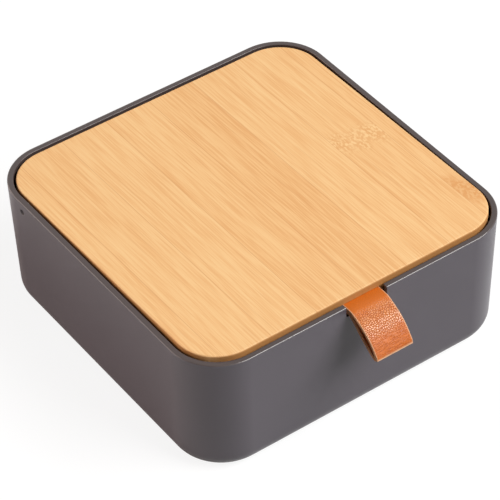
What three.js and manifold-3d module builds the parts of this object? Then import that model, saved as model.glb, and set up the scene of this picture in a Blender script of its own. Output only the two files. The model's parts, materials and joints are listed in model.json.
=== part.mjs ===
// A square jewellery box: a moulded case, a bamboo lid that see-saws on two side pins,
// and a leather loop that lifts it. Millimetres, +Z up, the front with the loop towards -Y.
import * as THREE from "three";
import { mergeVertices } from "three/addons/utils/BufferGeometryUtils.js";
import Module from "manifold-3d";

const wasm = await Module();
wasm.setup();

// Case
const caseWidth = 180;
const caseHeight = 70;
const caseCornerRadius = 26;
const wallLeanWidth = 1.65;
const caseWall = 3;
const caseFloor = 3;
const bottomEdgeRadius = 9;
const floorFilletRadius = 6;
const rimOuterEase = 0.8;
const rimInnerEase = 0.4;

// Feet
const footRadius = 5;
const footHeight = 0.8;
const footRecess = 1;
const footEase = 0.4;
const footInset = 30;

// Lid
const lidGap = 1.2;
const lidThickness = 11.6;
const lidTopEase = 1;
const lidUnderEase = 0.6;
const lidFrontProud = 2;
const lidSinkAtPins = 0.05;

// Hinge pins and the bushes that turn on them
const pinFromBack = 31;
const pinRadius = 1;
const pinRecess = 0.9;
const pinChamfer = 0.2;
const pinDepthInLid = 13;
const pinHoleGap = 0.1;
const bushWall = 1.5;
const bushRunningGap = 0.15;
const bushLength = 14;
const bushFlangeRadius = 4;
const bushFlangeThickness = 0.6;

// Lid stops and rests, moulded on the walls
const openAngleDegrees = 100;
const stopRibReach = 8.5;
const stopRibFoot = 3;
const stopRibTopGap = 1;
const restRibWidth = 7;
const restRibReach = 7.5;
const restRibHeight = 11;
const restRibToe = 1;
const restRibFromCorner = 6;
const bumperRadius = 2.6;
const bumperThickness = 1.5;
const bumperEase = 0.5;

// Pull loop, its notch in the front wall and its mortise in the lid
const strapWidth = 20.6;
const strapThickness = 1.6;
const strapSlit = 0.1;
const strapInLid = 12;
const loopReach = 21;
const loopDrop = 14.8;
const notchSideGap = 1.2;
const screwRadius = 1;
const screwHeadRadius = 2.1;
const screwHeadDepth = 1.2;
const screwPoint = 0.8;
const screwLength = 8;
const screwFromStrapSide = 4.8;

// Mirror in the lid's underside
const mirrorThickness = 2;
const mirrorCornerRadius = 9;
const mirrorSideMargin = 21.8;
const mirrorBackMargin = 8;
const mirrorFrontMargin = 14;

// Liner, dividers and ring rolls
const linerThickness = 1.5;
const dividerThickness = 4;
const dividerHeight = 28;
const dividerBottomChamfer = 4.5;
const guideRibThickness = 1.2;
const guideRibReach = 2.5;
const guideRibBelowTop = 3;
const acrossFromCentre = 18;
const alongFromCentre = 8;
const shortFromAcross = 50;
const dadoDepth = 1.2;
const ringBoardThickness = 2;
const ringBoardCornerRadius = 6;
const ringBoardWallGap = 7;
const ringBoardDividerGap = 0.8;
const rollCount = 6;
const rollHeight = 22;
const rollEndEase = 2.2;
const rollBottomEase = 1.5;

// Clearances
const fitGap = 0.3;
const cutOverrun = 2;
const weldDistance = 0.0005;

// Fineness of round shapes
const cornerSteps = 9;
const edgeSteps = 5;
const easeSteps = 2;
const roundSegments = 20;
const rollArcSteps = 10;
const rollEdgeSteps = 3;
const loopSamples = 70;

// The loop's middle line outside the lid, from its upper layer round the fold to its lower layer:
// outwards as shares of the reach, downwards as shares of the drop
const loopLineShares = [
  [0.0, -0.057],
  [0.14, -0.03],
  [0.3, 0.075],
  [0.48, 0.21],
  [0.64, 0.38],
  [0.79, 0.59],
  [0.895, 0.79],
  [0.95, 0.92],
  [0.945, 0.985],
  [0.895, 0.995],
  [0.8, 0.935],
  [0.66, 0.8],
  [0.5, 0.625],
  [0.35, 0.44],
  [0.2, 0.25],
  [0.09, 0.125],
  [0.0, 0.057],
];

// Places that follow from the sizes above
const rightAngle = Math.PI / 2;
const floorTop = footHeight + caseFloor;
const lidWidth = caseWidth - 2 * (caseWall + lidGap);
const lidCornerRadius = caseCornerRadius - caseWall - lidGap;
const lidTail = pinFromBack - caseWall - lidGap;
const lidReach = lidWidth - lidTail;
const hingeY = caseWidth / 2 - pinFromBack;
const hingeZ = caseHeight - lidSinkAtPins - lidThickness / 2;
const lidTilt = Math.asin((lidFrontProud + lidSinkAtPins) / lidReach);
const bushInnerRadius = pinRadius + bushRunningGap;
const bushOuterRadius = bushInnerRadius + bushWall;
const dividerBottom = floorTop + linerThickness;
const dividerTop = dividerBottom + dividerHeight;
const shortY = acrossFromCentre - shortFromAcross;
const bundleThickness = 2 * strapThickness + strapSlit;
const mortiseHeight = bundleThickness + 2 * fitGap;
const mortiseWidth = strapWidth + 2 * fitGap;
const mortiseDepth = strapInLid + fitGap;
const restRibX = caseWidth / 2 - caseCornerRadius - restRibFromCorner;
const mirrorWidth = lidWidth - 2 * mirrorSideMargin;
const mirrorBackY = -bushOuterRadius - mirrorBackMargin;
const mirrorFrontY = strapInLid + mirrorFrontMargin - lidReach;
const mirrorDepth = mirrorBackY - mirrorFrontY;

const finishes = {
  case: { color: 0x4a4442, roughness: 0.55, metalness: 0 },
  bamboo: { color: 0xe6b377, roughness: 0.5, metalness: 0 },
  leather: { color: 0xc8692f, roughness: 0.6, metalness: 0 },
  steel: { color: 0x8d8f92, roughness: 0.3, metalness: 1 },
  nylon: { color: 0xe8e4da, roughness: 0.5, metalness: 0 },
  rubber: { color: 0x2a2827, roughness: 0.8, metalness: 0 },
  felt: { color: 0x6d6864, roughness: 0.95, metalness: 0 },
  velvet: { color: 0x8b837c, roughness: 0.95, metalness: 0 },
  mirror: { color: 0xdfe6e8, roughness: 0.03, metalness: 1 },
};

// Half the width of the case's outside at a height: the walls lean in towards the floor
function outerHalfAt(height) {
  return caseWidth / 2 - (wallLeanWidth * (caseHeight - height)) / caseHeight;
}

function innerHalfAt(height) {
  return outerHalfAt(height) - caseWall;
}

// How far above the pins the lid's underside lies at a distance in front of them, lid shut
function lidUndersideAt(forward) {
  return hingeZ + forward * Math.tan(lidTilt) - lidThickness / 2 / Math.cos(lidTilt);
}

// A closed mesh made into a solid that can be cut and joined
function solidOf(geometry) {
  const bare = geometry.clone();
  bare.deleteAttribute("normal");
  bare.deleteAttribute("uv");
  const welded = mergeVertices(bare, weldDistance);
  return new wasm.Manifold(
    new wasm.Mesh({
      numProp: 3,
      vertProperties: welded.attributes.position.array,
      triVerts: new Uint32Array(welded.index.array),
    }),
  );
}

function geometryOf(solid) {
  const mesh = solid.getMesh();
  const geometry = new THREE.BufferGeometry();
  geometry.setAttribute("position", new THREE.BufferAttribute(mesh.vertProperties, 3));
  geometry.setIndex(new THREE.BufferAttribute(mesh.triVerts, 1));
  geometry.computeVertexNormals();
  return geometry;
}

function meshOf(name, geometry, finish) {
  const material = new THREE.MeshStandardMaterial(finishes[finish]);
  const mesh = new THREE.Mesh(geometry, material);
  mesh.name = name;
  return mesh;
}

// A ring of points round a rectangle with round corners, anticlockwise seen from above
function roundedRing(halfX, halfY, cornerRadius, height) {
  const signs = [
    [1, 1],
    [-1, 1],
    [-1, -1],
    [1, -1],
  ];
  return signs.flatMap(([signX, signY], corner) =>
    Array.from({ length: cornerSteps + 1 }, (_, step) => {
      const angle = (corner + step / cornerSteps) * rightAngle;
      return new THREE.Vector3(
        signX * (halfX - cornerRadius) + cornerRadius * Math.cos(angle),
        signY * (halfY - cornerRadius) + cornerRadius * Math.sin(angle),
        height,
      );
    }),
  );
}

// A closed body through rings of points that lie one above the other
function loft(rings) {
  const count = rings[0].length;
  const lowest = rings[0];
  const highest = rings[rings.length - 1];
  const middleOf = (ring) =>
    ring.reduce((sum, point) => sum.add(point), new THREE.Vector3()).divideScalar(count);
  const points = [...rings.flat(), middleOf(lowest), middleOf(highest)];
  const lowerMiddle = points.length - 2;
  const upperMiddle = points.length - 1;
  const topStart = (rings.length - 1) * count;
  const index = [];
  for (let at = 0; at < count; at += 1) {
    const next = (at + 1) % count;
    index.push(lowerMiddle, next, at);
    index.push(upperMiddle, topStart + at, topStart + next);
    for (let level = 0; level < topStart; level += count) {
      index.push(level + at, level + next, level + count + next);
      index.push(level + at, level + count + next, level + count + at);
    }
  }
  return new THREE.BufferGeometry().setFromPoints(points).setIndex(index);
}

// Heights and insets of a lower edge rounded outside, counted from the flat bottom up
function lowerRound(bottom, radius, steps) {
  return Array.from({ length: steps + 1 }, (_, step) => {
    const angle = (step / steps) * rightAngle;
    return { height: bottom + radius * (1 - Math.cos(angle)), inset: radius * (1 - Math.sin(angle)) };
  });
}

// Heights and insets of an upper edge: a negative sign opens the edge outwards
function upperRound(top, radius, steps, sign) {
  return Array.from({ length: steps + 1 }, (_, step) => {
    const angle = (step / steps) * rightAngle;
    return {
      height: top - radius * (1 - Math.sin(angle)),
      inset: sign * radius * (1 - Math.cos(angle)),
    };
  });
}

// A board with round corners, its edges eased below and above, centred on the origin
function easedBoard(sideX, sideY, thickness, cornerRadius, underEase, topEase) {
  const levels = [
    ...lowerRound(-thickness / 2, underEase, easeSteps),
    ...upperRound(thickness / 2, topEase, easeSteps, 1),
  ];
  return loft(
    levels.map(({ height, inset }) =>
      roundedRing(sideX / 2 - inset, sideY / 2 - inset, cornerRadius - inset, height),
    ),
  );
}

// A body of revolution about +Z from radius and height pairs
function turned(outline) {
  const points = outline.map(([radius, height]) => new THREE.Vector2(radius, height));
  return new THREE.LatheGeometry(points, roundSegments).rotateX(rightAngle);
}

function cylinderAlongX(radius, length) {
  return new THREE.CylinderGeometry(radius, radius, length, roundSegments).rotateZ(rightAngle);
}

// A flat outline drawn in Y and Z, given thickness along X and centred there
function plateAcrossX(outline, thickness) {
  const shape = new THREE.Shape(outline.map(([y, z]) => new THREE.Vector2(y, z)));
  const plate = new THREE.ExtrudeGeometry(shape, { depth: thickness, bevelEnabled: false });
  return plate
    .translate(0, 0, -thickness / 2)
    .rotateX(rightAngle)
    .rotateZ(rightAngle);
}

// A flat outline drawn in X and Z, given thickness along Y and centred there
function plateAcrossY(outline, thickness) {
  return plateAcrossX(outline, thickness).rotateZ(-rightAngle);
}

function block(lowX, highX, lowY, highY, lowZ, highZ) {
  const box = new THREE.BoxGeometry(highX - lowX, highY - lowY, highZ - lowZ);
  return box.translate((lowX + highX) / 2, (lowY + highY) / 2, (lowZ + highZ) / 2);
}

function caseOutside() {
  const levels = [
    ...lowerRound(footHeight, bottomEdgeRadius, edgeSteps),
    ...upperRound(caseHeight, rimOuterEase, easeSteps, 1),
  ];
  return loft(
    levels.map(({ height, inset }) => {
      const half = outerHalfAt(height) - inset;
      return roundedRing(half, half, caseCornerRadius - (caseWidth / 2 - half), height);
    }),
  );
}

function caseCavity() {
  const levels = [
    ...lowerRound(floorTop, floorFilletRadius, edgeSteps),
    ...upperRound(caseHeight, rimInnerEase, easeSteps, -1),
    { height: caseHeight + cutOverrun, inset: -rimInnerEase },
  ];
  return loft(
    levels.map(({ height, inset }) => {
      const half = innerHalfAt(Math.min(height, caseHeight)) - inset;
      return roundedRing(half, half, caseCornerRadius - (caseWidth / 2 - half), height);
    }),
  );
}

// The side of the lid's tail at full opening gives the stop rib its slanting back face
function stopRibOutline(gap) {
  const angle = THREE.MathUtils.degToRad(openAngleDegrees);
  const offset = lidThickness / 2 + gap;
  const topDrop = lidThickness / 2 + stopRibTopGap;
  const placeAt = (along) => [
    hingeY + along * Math.cos(angle) - offset * Math.sin(angle),
    hingeZ - along * Math.sin(angle) - offset * Math.cos(angle),
  ];
  const upper = placeAt((topDrop - offset * Math.cos(angle)) / Math.sin(angle));
  const lower = placeAt(lidTail);
  const front = lower[0] - stopRibFoot;
  return [
    [front, floorTop - caseFloor / 2],
    [lower[0], floorTop - caseFloor / 2],
    lower,
    upper,
    [front, upper[1]],
  ];
}

function stopRib(side) {
  const rootX = innerHalfAt(floorTop) + caseWall / 2;
  const tipX = innerHalfAt(caseHeight) - stopRibReach;
  const rib = plateAcrossX(stopRibOutline(fitGap), rootX - tipX);
  return rib.translate((side * (rootX + tipX)) / 2, 0, 0);
}

function restRibTop() {
  const bumperY = -(innerHalfAt(caseHeight) - restRibReach / 2);
  return lidUndersideAt(hingeY - bumperY - bumperRadius) - fitGap - bumperThickness;
}

function restRib(side) {
  const top = restRibTop();
  const rootY = -(innerHalfAt(top - restRibHeight) + caseWall / 2);
  const tipY = -(innerHalfAt(caseHeight) - restRibReach);
  const outline = [
    [rootY, top - restRibHeight],
    [tipY, top - restRibToe],
    [tipY, top],
    [rootY, top],
  ];
  return plateAcrossX(outline, restRibWidth).translate(side * restRibX, 0, 0);
}

// A pair of thin ribs on the left or right wall, with a divider's end between them
function guideRibsOnSideWall(side, y) {
  const rootX = innerHalfAt(floorTop) + caseWall / 2;
  const tipX = innerHalfAt(floorTop) - guideRibReach;
  const offset = dividerThickness / 2 + fitGap + guideRibThickness / 2;
  return [-1, 1].map((face) => {
    const centre = y + face * offset;
    return block(
      Math.min(side * rootX, side * tipX),
      Math.max(side * rootX, side * tipX),
      centre - guideRibThickness / 2,
      centre + guideRibThickness / 2,
      floorTop - caseFloor / 2,
      dividerTop - guideRibBelowTop,
    );
  });
}

// The same pair on the front or back wall
function guideRibsOnEndWall(end, x) {
  return guideRibsOnSideWall(end, -x).map((rib) => rib.rotateZ(rightAngle));
}

function notchCutter() {
  const rimY = caseWidth / 2;
  const notchWidth = strapWidth + 2 * notchSideGap;
  return block(
    -notchWidth / 2,
    notchWidth / 2,
    -rimY - cutOverrun,
    -rimY + caseWall + cutOverrun,
    notchFloor(),
    caseHeight + cutOverrun,
  );
}

// The strap's lower layer lies just over the notch's floor at the wall's inner face
function notchFloor() {
  const innerY = caseWidth / 2 - caseWall;
  const middle = hingeZ + (hingeY + innerY) * Math.tan(lidTilt);
  return middle - bundleThickness / 2 - fitGap;
}

function makeCase() {
  let shell = solidOf(caseOutside());
  const outside = shell;
  shell = shell.subtract(solidOf(caseCavity()));
  const ribs = [
    stopRib(-1),
    stopRib(1),
    restRib(-1),
    restRib(1),
    ...guideRibsOnSideWall(-1, acrossFromCentre),
    ...guideRibsOnSideWall(1, acrossFromCentre),
    ...guideRibsOnSideWall(1, shortY),
    ...guideRibsOnEndWall(-1, -alongFromCentre),
    ...guideRibsOnEndWall(1, -alongFromCentre),
  ];
  for (const rib of ribs) {
    shell = shell.add(solidOf(rib).intersect(outside));
  }
  shell = shell.subtract(solidOf(notchCutter()));
  const bore = cylinderAlongX(pinRadius + pinHoleGap, caseWidth + cutOverrun);
  shell = shell.subtract(solidOf(bore.translate(0, hingeY, hingeZ)));
  for (const [x, y] of footPlaces()) {
    const recess = new THREE.CylinderGeometry(
      footRadius + fitGap,
      footRadius + fitGap,
      2 * footRecess,
      roundSegments,
    );
    shell = shell.subtract(solidOf(recess.rotateX(rightAngle).translate(x, y, footHeight)));
  }
  return meshOf("case_shell", geometryOf(shell), "case");
}

function footPlaces() {
  const reach = caseWidth / 2 - footInset;
  return [
    [-reach, -reach],
    [reach, -reach],
    [-reach, reach],
    [reach, reach],
  ];
}

function makeFeet() {
  const names = ["front_left", "front_right", "rear_left", "rear_right"];
  return footPlaces().map(([x, y], at) => {
    const top = footHeight + footRecess;
    const foot = turned([
      [0, 0],
      [footRadius - footEase, 0],
      [footRadius, footEase],
      [footRadius, top],
      [0, top],
    ]);
    const mesh = meshOf(`case_foot_${names[at]}`, foot, "rubber");
    mesh.position.set(x, y, 0);
    return mesh;
  });
}

function makePin(name, side) {
  const outerX = outerHalfAt(hingeZ) - pinRecess;
  const innerX = lidWidth / 2 - pinDepthInLid;
  const pin = turned([
    [0, innerX],
    [pinRadius - pinChamfer, innerX],
    [pinRadius, innerX + pinChamfer],
    [pinRadius, outerX - pinChamfer],
    [pinRadius - pinChamfer, outerX],
    [0, outerX],
  ]);
  const mesh = meshOf(name, pin.rotateY(side * rightAngle), "steel");
  mesh.position.set(0, hingeY, hingeZ);
  return mesh;
}

function makeBumper(name, side) {
  const bumper = turned([
    [0, 0],
    [bumperRadius, 0],
    [bumperRadius, bumperThickness - bumperEase],
    [bumperRadius - bumperEase, bumperThickness],
    [0, bumperThickness],
  ]);
  const mesh = meshOf(name, bumper, "rubber");
  const y = -(innerHalfAt(caseHeight) - restRibReach / 2);
  mesh.position.set(side * restRibX, y, restRibTop());
  return mesh;
}

function makeLiner() {
  const flatHalf = innerHalfAt(floorTop) - floorFilletRadius - fitGap;
  const cornerRadius = caseCornerRadius - (caseWidth / 2 - flatHalf);
  const sheet = loft([
    roundedRing(flatHalf, flatHalf, cornerRadius, floorTop),
    roundedRing(flatHalf, flatHalf, cornerRadius, floorTop + linerThickness),
  ]);
  const rib = stopRibOutline(fitGap);
  const lowY = rib[0][0] - fitGap;
  const highY = rib[1][0] + fitGap;
  const tipX = innerHalfAt(caseHeight) - stopRibReach - fitGap;
  let liner = solidOf(sheet);
  for (const side of [-1, 1]) {
    const cutter = block(
      Math.min(side * tipX, side * caseWidth),
      Math.max(side * tipX, side * caseWidth),
      lowY,
      highY,
      0,
      caseHeight,
    );
    liner = liner.subtract(solidOf(cutter));
  }
  return meshOf("floor_liner", geometryOf(liner), "felt");
}

// An upright board with chamfered bottom corners where it meets walls, and a slot halfway
// through its height, from below or from above, where another board crosses it
function dividerOutline(low, high, slotAt, slotFromTop, lowChamfer, highChamfer) {
  const slotHalf = dividerThickness / 2 + fitGap;
  const middle = dividerHeight / 2;
  const bottomSlot = [
    [slotAt - slotHalf, 0],
    [slotAt - slotHalf, middle + fitGap],
    [slotAt + slotHalf, middle + fitGap],
    [slotAt + slotHalf, 0],
  ];
  const topSlot = [
    [slotAt + slotHalf, dividerHeight],
    [slotAt + slotHalf, middle],
    [slotAt - slotHalf, middle],
    [slotAt - slotHalf, dividerHeight],
  ];
  const bottom = slotAt === null || slotFromTop ? [] : bottomSlot;
  const top = slotAt === null || !slotFromTop ? [] : topSlot;
  return [
    ...(lowChamfer ? [[low, lowChamfer]] : []),
    [low + lowChamfer, 0],
    ...bottom,
    [high - highChamfer, 0],
    ...(highChamfer ? [[high, highChamfer]] : []),
    [high, dividerHeight],
    ...top,
    [low, dividerHeight],
  ];
}

function dividerEnd() {
  return innerHalfAt(floorTop) - fitGap;
}

function makeDividerAcross() {
  const end = dividerEnd();
  const chamfer = dividerBottomChamfer;
  const outline = dividerOutline(-end, end, -alongFromCentre, true, chamfer, chamfer);
  const board = plateAcrossY(outline, dividerThickness);
  board.translate(0, acrossFromCentre, dividerBottom);
  return meshOf("divider_across", board, "bamboo");
}

function makeDividerAlong() {
  const end = dividerEnd();
  const chamfer = dividerBottomChamfer;
  const outline = dividerOutline(-end, end, acrossFromCentre, false, chamfer, chamfer);
  const board = solidOf(plateAcrossX(outline, dividerThickness));
  const grooveHalf = dividerThickness / 2 + fitGap;
  const groove = block(
    dividerThickness / 2 - dadoDepth,
    dividerThickness,
    shortY - grooveHalf,
    shortY + grooveHalf,
    -cutOverrun,
    dividerHeight + cutOverrun,
  );
  const grooved = geometryOf(board.subtract(solidOf(groove)));
  grooved.translate(-alongFromCentre, 0, dividerBottom);
  return meshOf("divider_along", grooved, "bamboo");
}

function makeDividerShort() {
  const grooveBottom = -alongFromCentre + dividerThickness / 2 - dadoDepth;
  const outline = dividerOutline(
    grooveBottom + fitGap,
    dividerEnd(),
    null,
    false,
    0,
    dividerBottomChamfer,
  );
  const board = plateAcrossY(outline, dividerThickness);
  board.translate(0, shortY, dividerBottom);
  return meshOf("divider_short", board, "bamboo");
}

// The rectangle that the ring board fills in the front left compartment
function ringBoardBounds() {
  const wall = innerHalfAt(floorTop) - ringBoardWallGap;
  const divider = dividerThickness / 2 + ringBoardDividerGap;
  return {
    left: -wall,
    right: -alongFromCentre - divider,
    front: -wall,
    back: acrossFromCentre - divider,
  };
}

function makeRingBoard() {
  const { left, right, front, back } = ringBoardBounds();
  const halfX = (right - left) / 2;
  const halfY = (back - front) / 2;
  const board = loft([
    roundedRing(halfX, halfY, ringBoardCornerRadius, 0),
    roundedRing(halfX, halfY, ringBoardCornerRadius, ringBoardThickness),
  ]);
  board.translate((left + right) / 2, (front + back) / 2, dividerBottom);
  return meshOf("ring_board", board, "felt");
}

// A roll's section: flat below, straight sides and a half-round top
function rollOutline(width) {
  const half = width / 2 - rollEndEase;
  const shoulder = rollHeight - width / 2;
  const points = [
    [-half, rollEndEase + rollBottomEase],
    [-half + rollBottomEase, rollEndEase],
    [half - rollBottomEase, rollEndEase],
    [half, rollEndEase + rollBottomEase],
  ];
  for (let step = 0; step <= rollArcSteps; step += 1) {
    const angle = (step / rollArcSteps) * Math.PI;
    points.push([half * Math.cos(angle), shoulder + half * Math.sin(angle)]);
  }
  return points;
}

function makeRingRolls() {
  const { left, right, front, back } = ringBoardBounds();
  const pitch = (back - front) / rollCount;
  const width = pitch - fitGap;
  const length = right - left - 2 * fitGap;
  const shape = new THREE.Shape(rollOutline(width).map(([y, z]) => new THREE.Vector2(y, z)));
  return Array.from({ length: rollCount }, (_, at) => {
    const roll = new THREE.ExtrudeGeometry(shape, {
      depth: length - 2 * rollEndEase,
      bevelThickness: rollEndEase,
      bevelSize: rollEndEase,
      bevelSegments: rollEdgeSteps,
    });
    roll.translate(0, 0, rollEndEase - length / 2);
    roll.rotateX(rightAngle).rotateZ(rightAngle);
    const mesh = meshOf(`ring_roll_${at + 1}`, geometryOf(solidOf(roll)), "velvet");
    const y = front + (at + 0.5) * pitch;
    mesh.position.set((left + right) / 2, y, dividerBottom + ringBoardThickness);
    return mesh;
  });
}

// The lid's pieces are drawn with the hinge's axis as their origin and the lid level
function screwPlaces() {
  const x = strapWidth / 2 - screwFromStrapSide;
  const y = -(lidReach - strapInLid / 2);
  return [
    [-x, y],
    [x, y],
  ];
}

// A countersunk screw that comes up from the lid's underside, or with a gap its hole
function screwBody(x, y, gap) {
  const bottom = gap ? -cutOverrun : 0;
  const head = screwHeadRadius + gap;
  const shank = screwRadius + gap;
  const screw = turned([
    [0, bottom],
    [head, bottom],
    [head, gap],
    [shank, screwHeadDepth + gap],
    [shank, screwLength - screwPoint + gap],
    [0, screwLength + gap],
  ]);
  return screw.translate(x, y, -lidThickness / 2);
}

function makeLidBoard() {
  const board = easedBoard(
    lidWidth,
    lidWidth,
    lidThickness,
    lidCornerRadius,
    lidUnderEase,
    lidTopEase,
  );
  let solid = solidOf(board.translate(0, (lidTail - lidReach) / 2, 0));
  const mortise = block(
    -mortiseWidth / 2,
    mortiseWidth / 2,
    -lidReach - cutOverrun,
    -lidReach + mortiseDepth,
    -mortiseHeight / 2,
    mortiseHeight / 2,
  );
  solid = solid.subtract(solidOf(mortise));
  const recess = easedBoard(
    mirrorWidth + 2 * fitGap,
    mirrorDepth + 2 * fitGap,
    2 * (mirrorThickness + fitGap),
    mirrorCornerRadius + fitGap,
    lidUnderEase,
    lidUnderEase / 2,
  );
  recess.translate(0, (mirrorBackY + mirrorFrontY) / 2, -lidThickness / 2);
  solid = solid.subtract(solidOf(recess));
  for (const side of [-1, 1]) {
    const depth = bushLength + fitGap + cutOverrun;
    const bore = cylinderAlongX(bushOuterRadius + bushRunningGap, depth);
    bore.translate(side * (lidWidth / 2 + cutOverrun - depth / 2), 0, 0);
    solid = solid.subtract(solidOf(bore));
  }
  for (const [x, y] of screwPlaces()) {
    solid = solid.subtract(solidOf(screwBody(x, y, fitGap)));
  }
  return meshOf("lid_board", geometryOf(solid), "bamboo");
}

function makeMirror() {
  const glass = easedBoard(
    mirrorWidth,
    mirrorDepth,
    mirrorThickness,
    mirrorCornerRadius,
    lidUnderEase,
    lidUnderEase / 2,
  );
  glass.translate(0, (mirrorBackY + mirrorFrontY) / 2, (mirrorThickness - lidThickness) / 2);
  return meshOf("lid_mirror", glass, "mirror");
}

function makeBush(name, side) {
  const face = lidWidth / 2;
  const outline = [
    [bushInnerRadius, face - bushLength],
    [bushOuterRadius, face - bushLength],
    [bushOuterRadius, face + bushRunningGap],
    [bushFlangeRadius, face + bushRunningGap],
    [bushFlangeRadius, face + bushRunningGap + bushFlangeThickness],
    [bushInnerRadius, face + bushRunningGap + bushFlangeThickness],
    [bushInnerRadius, face - bushLength],
  ];
  const bush = turned(outline).rotateY(side * rightAngle);
  return meshOf(name, geometryOf(solidOf(bush)), "nylon");
}

// The strap's middle line as points in Y and Z, from one end in the mortise to the other
function strapLine() {
  const layer = (strapThickness + strapSlit) / 2;
  const wallFace = lidReach + lidGap + caseWall;
  const bends = loopLineShares.map(
    ([out, down]) => new THREE.Vector3(0, -wallFace - out * loopReach, -down * loopDrop),
  );
  const innerEnd = -lidReach + strapInLid;
  const points = [
    new THREE.Vector3(0, innerEnd, layer),
    new THREE.Vector3(0, -lidReach, layer),
    ...bends,
    new THREE.Vector3(0, -lidReach, -layer),
    new THREE.Vector3(0, innerEnd, -layer),
  ];
  const curve = new THREE.CatmullRomCurve3(points, false, "centripetal");
  return curve.getSpacedPoints(loopSamples);
}

function makeStrap() {
  const line = strapLine();
  const sideOf = (sign) =>
    line.map((point, at) => {
      const before = line[Math.max(at - 1, 0)];
      const after = line[Math.min(at + 1, line.length - 1)];
      const run = after.clone().sub(before).normalize();
      const offset = (sign * strapThickness) / 2;
      return [point.y - run.z * offset, point.z + run.y * offset];
    });
  const outline = [...sideOf(1), ...sideOf(-1).reverse()];
  let strap = solidOf(plateAcrossX(outline, strapWidth));
  for (const [x, y] of screwPlaces()) {
    strap = strap.subtract(solidOf(screwBody(x, y, fitGap)));
  }
  return meshOf("pull_strap", geometryOf(strap), "leather");
}

function makeScrews() {
  const names = ["left", "right"];
  return screwPlaces().map(([x, y], at) =>
    meshOf(`strap_screw_${names[at]}`, screwBody(x, y, 0), "steel"),
  );
}

function makeLid() {
  const lid = new THREE.Group();
  lid.add(
    makeLidBoard(),
    makeMirror(),
    makeBush("pivot_bush_left", -1),
    makeBush("pivot_bush_right", 1),
    makeStrap(),
    ...makeScrews(),
  );
  lid.position.set(0, hingeY, hingeZ);
  lid.rotation.x = -lidTilt;
  return lid;
}

// The whole box, moved back by half the loop's reach so that its footprint is centred
const jewelleryBox = new THREE.Group();
jewelleryBox.add(
  makeCase(),
  ...makeFeet(),
  makePin("hinge_pin_left", -1),
  makePin("hinge_pin_right", 1),
  makeBumper("lid_bumper_left", -1),
  makeBumper("lid_bumper_right", 1),
  makeLiner(),
  makeDividerAcross(),
  makeDividerAlong(),
  makeDividerShort(),
  makeRingBoard(),
  ...makeRingRolls(),
  makeLid(),
);
jewelleryBox.position.y = loopReach / 2;

export default jewelleryBox;
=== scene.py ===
"""Dresses the jewellery box: a satin moulded case, a see-saw bamboo lid, a leather loop and a lined inside.

Every length is in metres in the frame's own axes: +Z up, the front with the loop towards -Y.
"""

from __future__ import annotations

import json
import logging
import math
from abc import ABC, abstractmethod
from collections.abc import Sequence
from dataclasses import dataclass, field
from enum import Enum
from functools import reduce

import bmesh
import bpy
from mathutils import Matrix, Vector

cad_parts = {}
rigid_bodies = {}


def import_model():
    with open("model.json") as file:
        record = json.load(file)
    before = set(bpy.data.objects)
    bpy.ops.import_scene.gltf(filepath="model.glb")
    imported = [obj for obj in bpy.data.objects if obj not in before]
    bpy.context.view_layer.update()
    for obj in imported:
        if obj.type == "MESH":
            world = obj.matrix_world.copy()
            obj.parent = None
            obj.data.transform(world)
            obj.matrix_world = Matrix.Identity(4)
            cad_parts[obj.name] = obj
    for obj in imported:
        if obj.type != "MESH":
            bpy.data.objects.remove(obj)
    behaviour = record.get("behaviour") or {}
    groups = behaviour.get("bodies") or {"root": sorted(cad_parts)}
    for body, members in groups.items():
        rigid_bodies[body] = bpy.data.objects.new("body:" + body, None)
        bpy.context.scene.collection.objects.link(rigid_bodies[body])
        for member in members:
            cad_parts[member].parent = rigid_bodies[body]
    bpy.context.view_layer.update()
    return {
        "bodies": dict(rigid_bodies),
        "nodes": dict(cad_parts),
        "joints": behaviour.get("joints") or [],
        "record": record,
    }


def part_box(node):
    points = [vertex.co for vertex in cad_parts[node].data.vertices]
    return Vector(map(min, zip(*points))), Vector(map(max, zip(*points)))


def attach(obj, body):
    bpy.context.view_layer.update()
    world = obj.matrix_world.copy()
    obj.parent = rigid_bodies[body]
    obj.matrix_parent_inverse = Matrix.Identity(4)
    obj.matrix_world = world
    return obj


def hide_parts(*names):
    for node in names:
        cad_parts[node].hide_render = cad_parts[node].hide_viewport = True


Colour = tuple[float, float, float, float]
Span = tuple[float, float]
Triple = tuple[float, float, float]
Node = bpy.types.Node
Socket = bpy.types.NodeSocket
Tree = bpy.types.NodeTree
Material = bpy.types.Material
Piece = bpy.types.Object
Solid = bmesh.types.BMesh
Edge = bmesh.types.BMEdge

MM = 0.001
OVERCUT = 2.0 * MM
LOG = logging.getLogger("jewellery_box")

STRAP_RUN = "strap_run"

CASE_BODY = "case"
LID_BODY = "lid"

WHITE = (1.0, 1.0, 1.0, 1.0)

SAME_PLACE = 0.01 * MM
LEVEL_LOOK = 0.9
UPRIGHT_LOOK = 0.5
RIM_DEGREES = 45.0
CYLINDER_SEGMENTS = 32
SHARP_DEGREES = 35.0
MIRROR_SHARP_DEGREES = 10.0
STRAP_SHARP_DEGREES = 50.0
FELT_SHARP_DEGREES = 60.0
SMOOTH_DEGREES = 180.0
SOFTENED_DEGREES = 40.0
FLATS_WEIGHT = 100


class Slot(str, Enum):
    """The record's material slots, which each new piece is logged with."""

    CASE = "case_plastic"
    LID = "lid_bamboo"
    DIVIDER = "divider_bamboo"
    STRAP = "strap_leather"
    FELT = "liner_felt"
    VELVET = "roll_velvet"
    MIRROR = "mirror_glass"
    STEEL = "steel"
    NYLON = "bush_nylon"
    RUBBER = "foot_rubber"


class Joining(Enum):
    """How solids change the piece that they are combined with."""

    UNION = "UNION"
    DIFFERENCE = "DIFFERENCE"
    INTERSECT = "INTERSECT"


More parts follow.
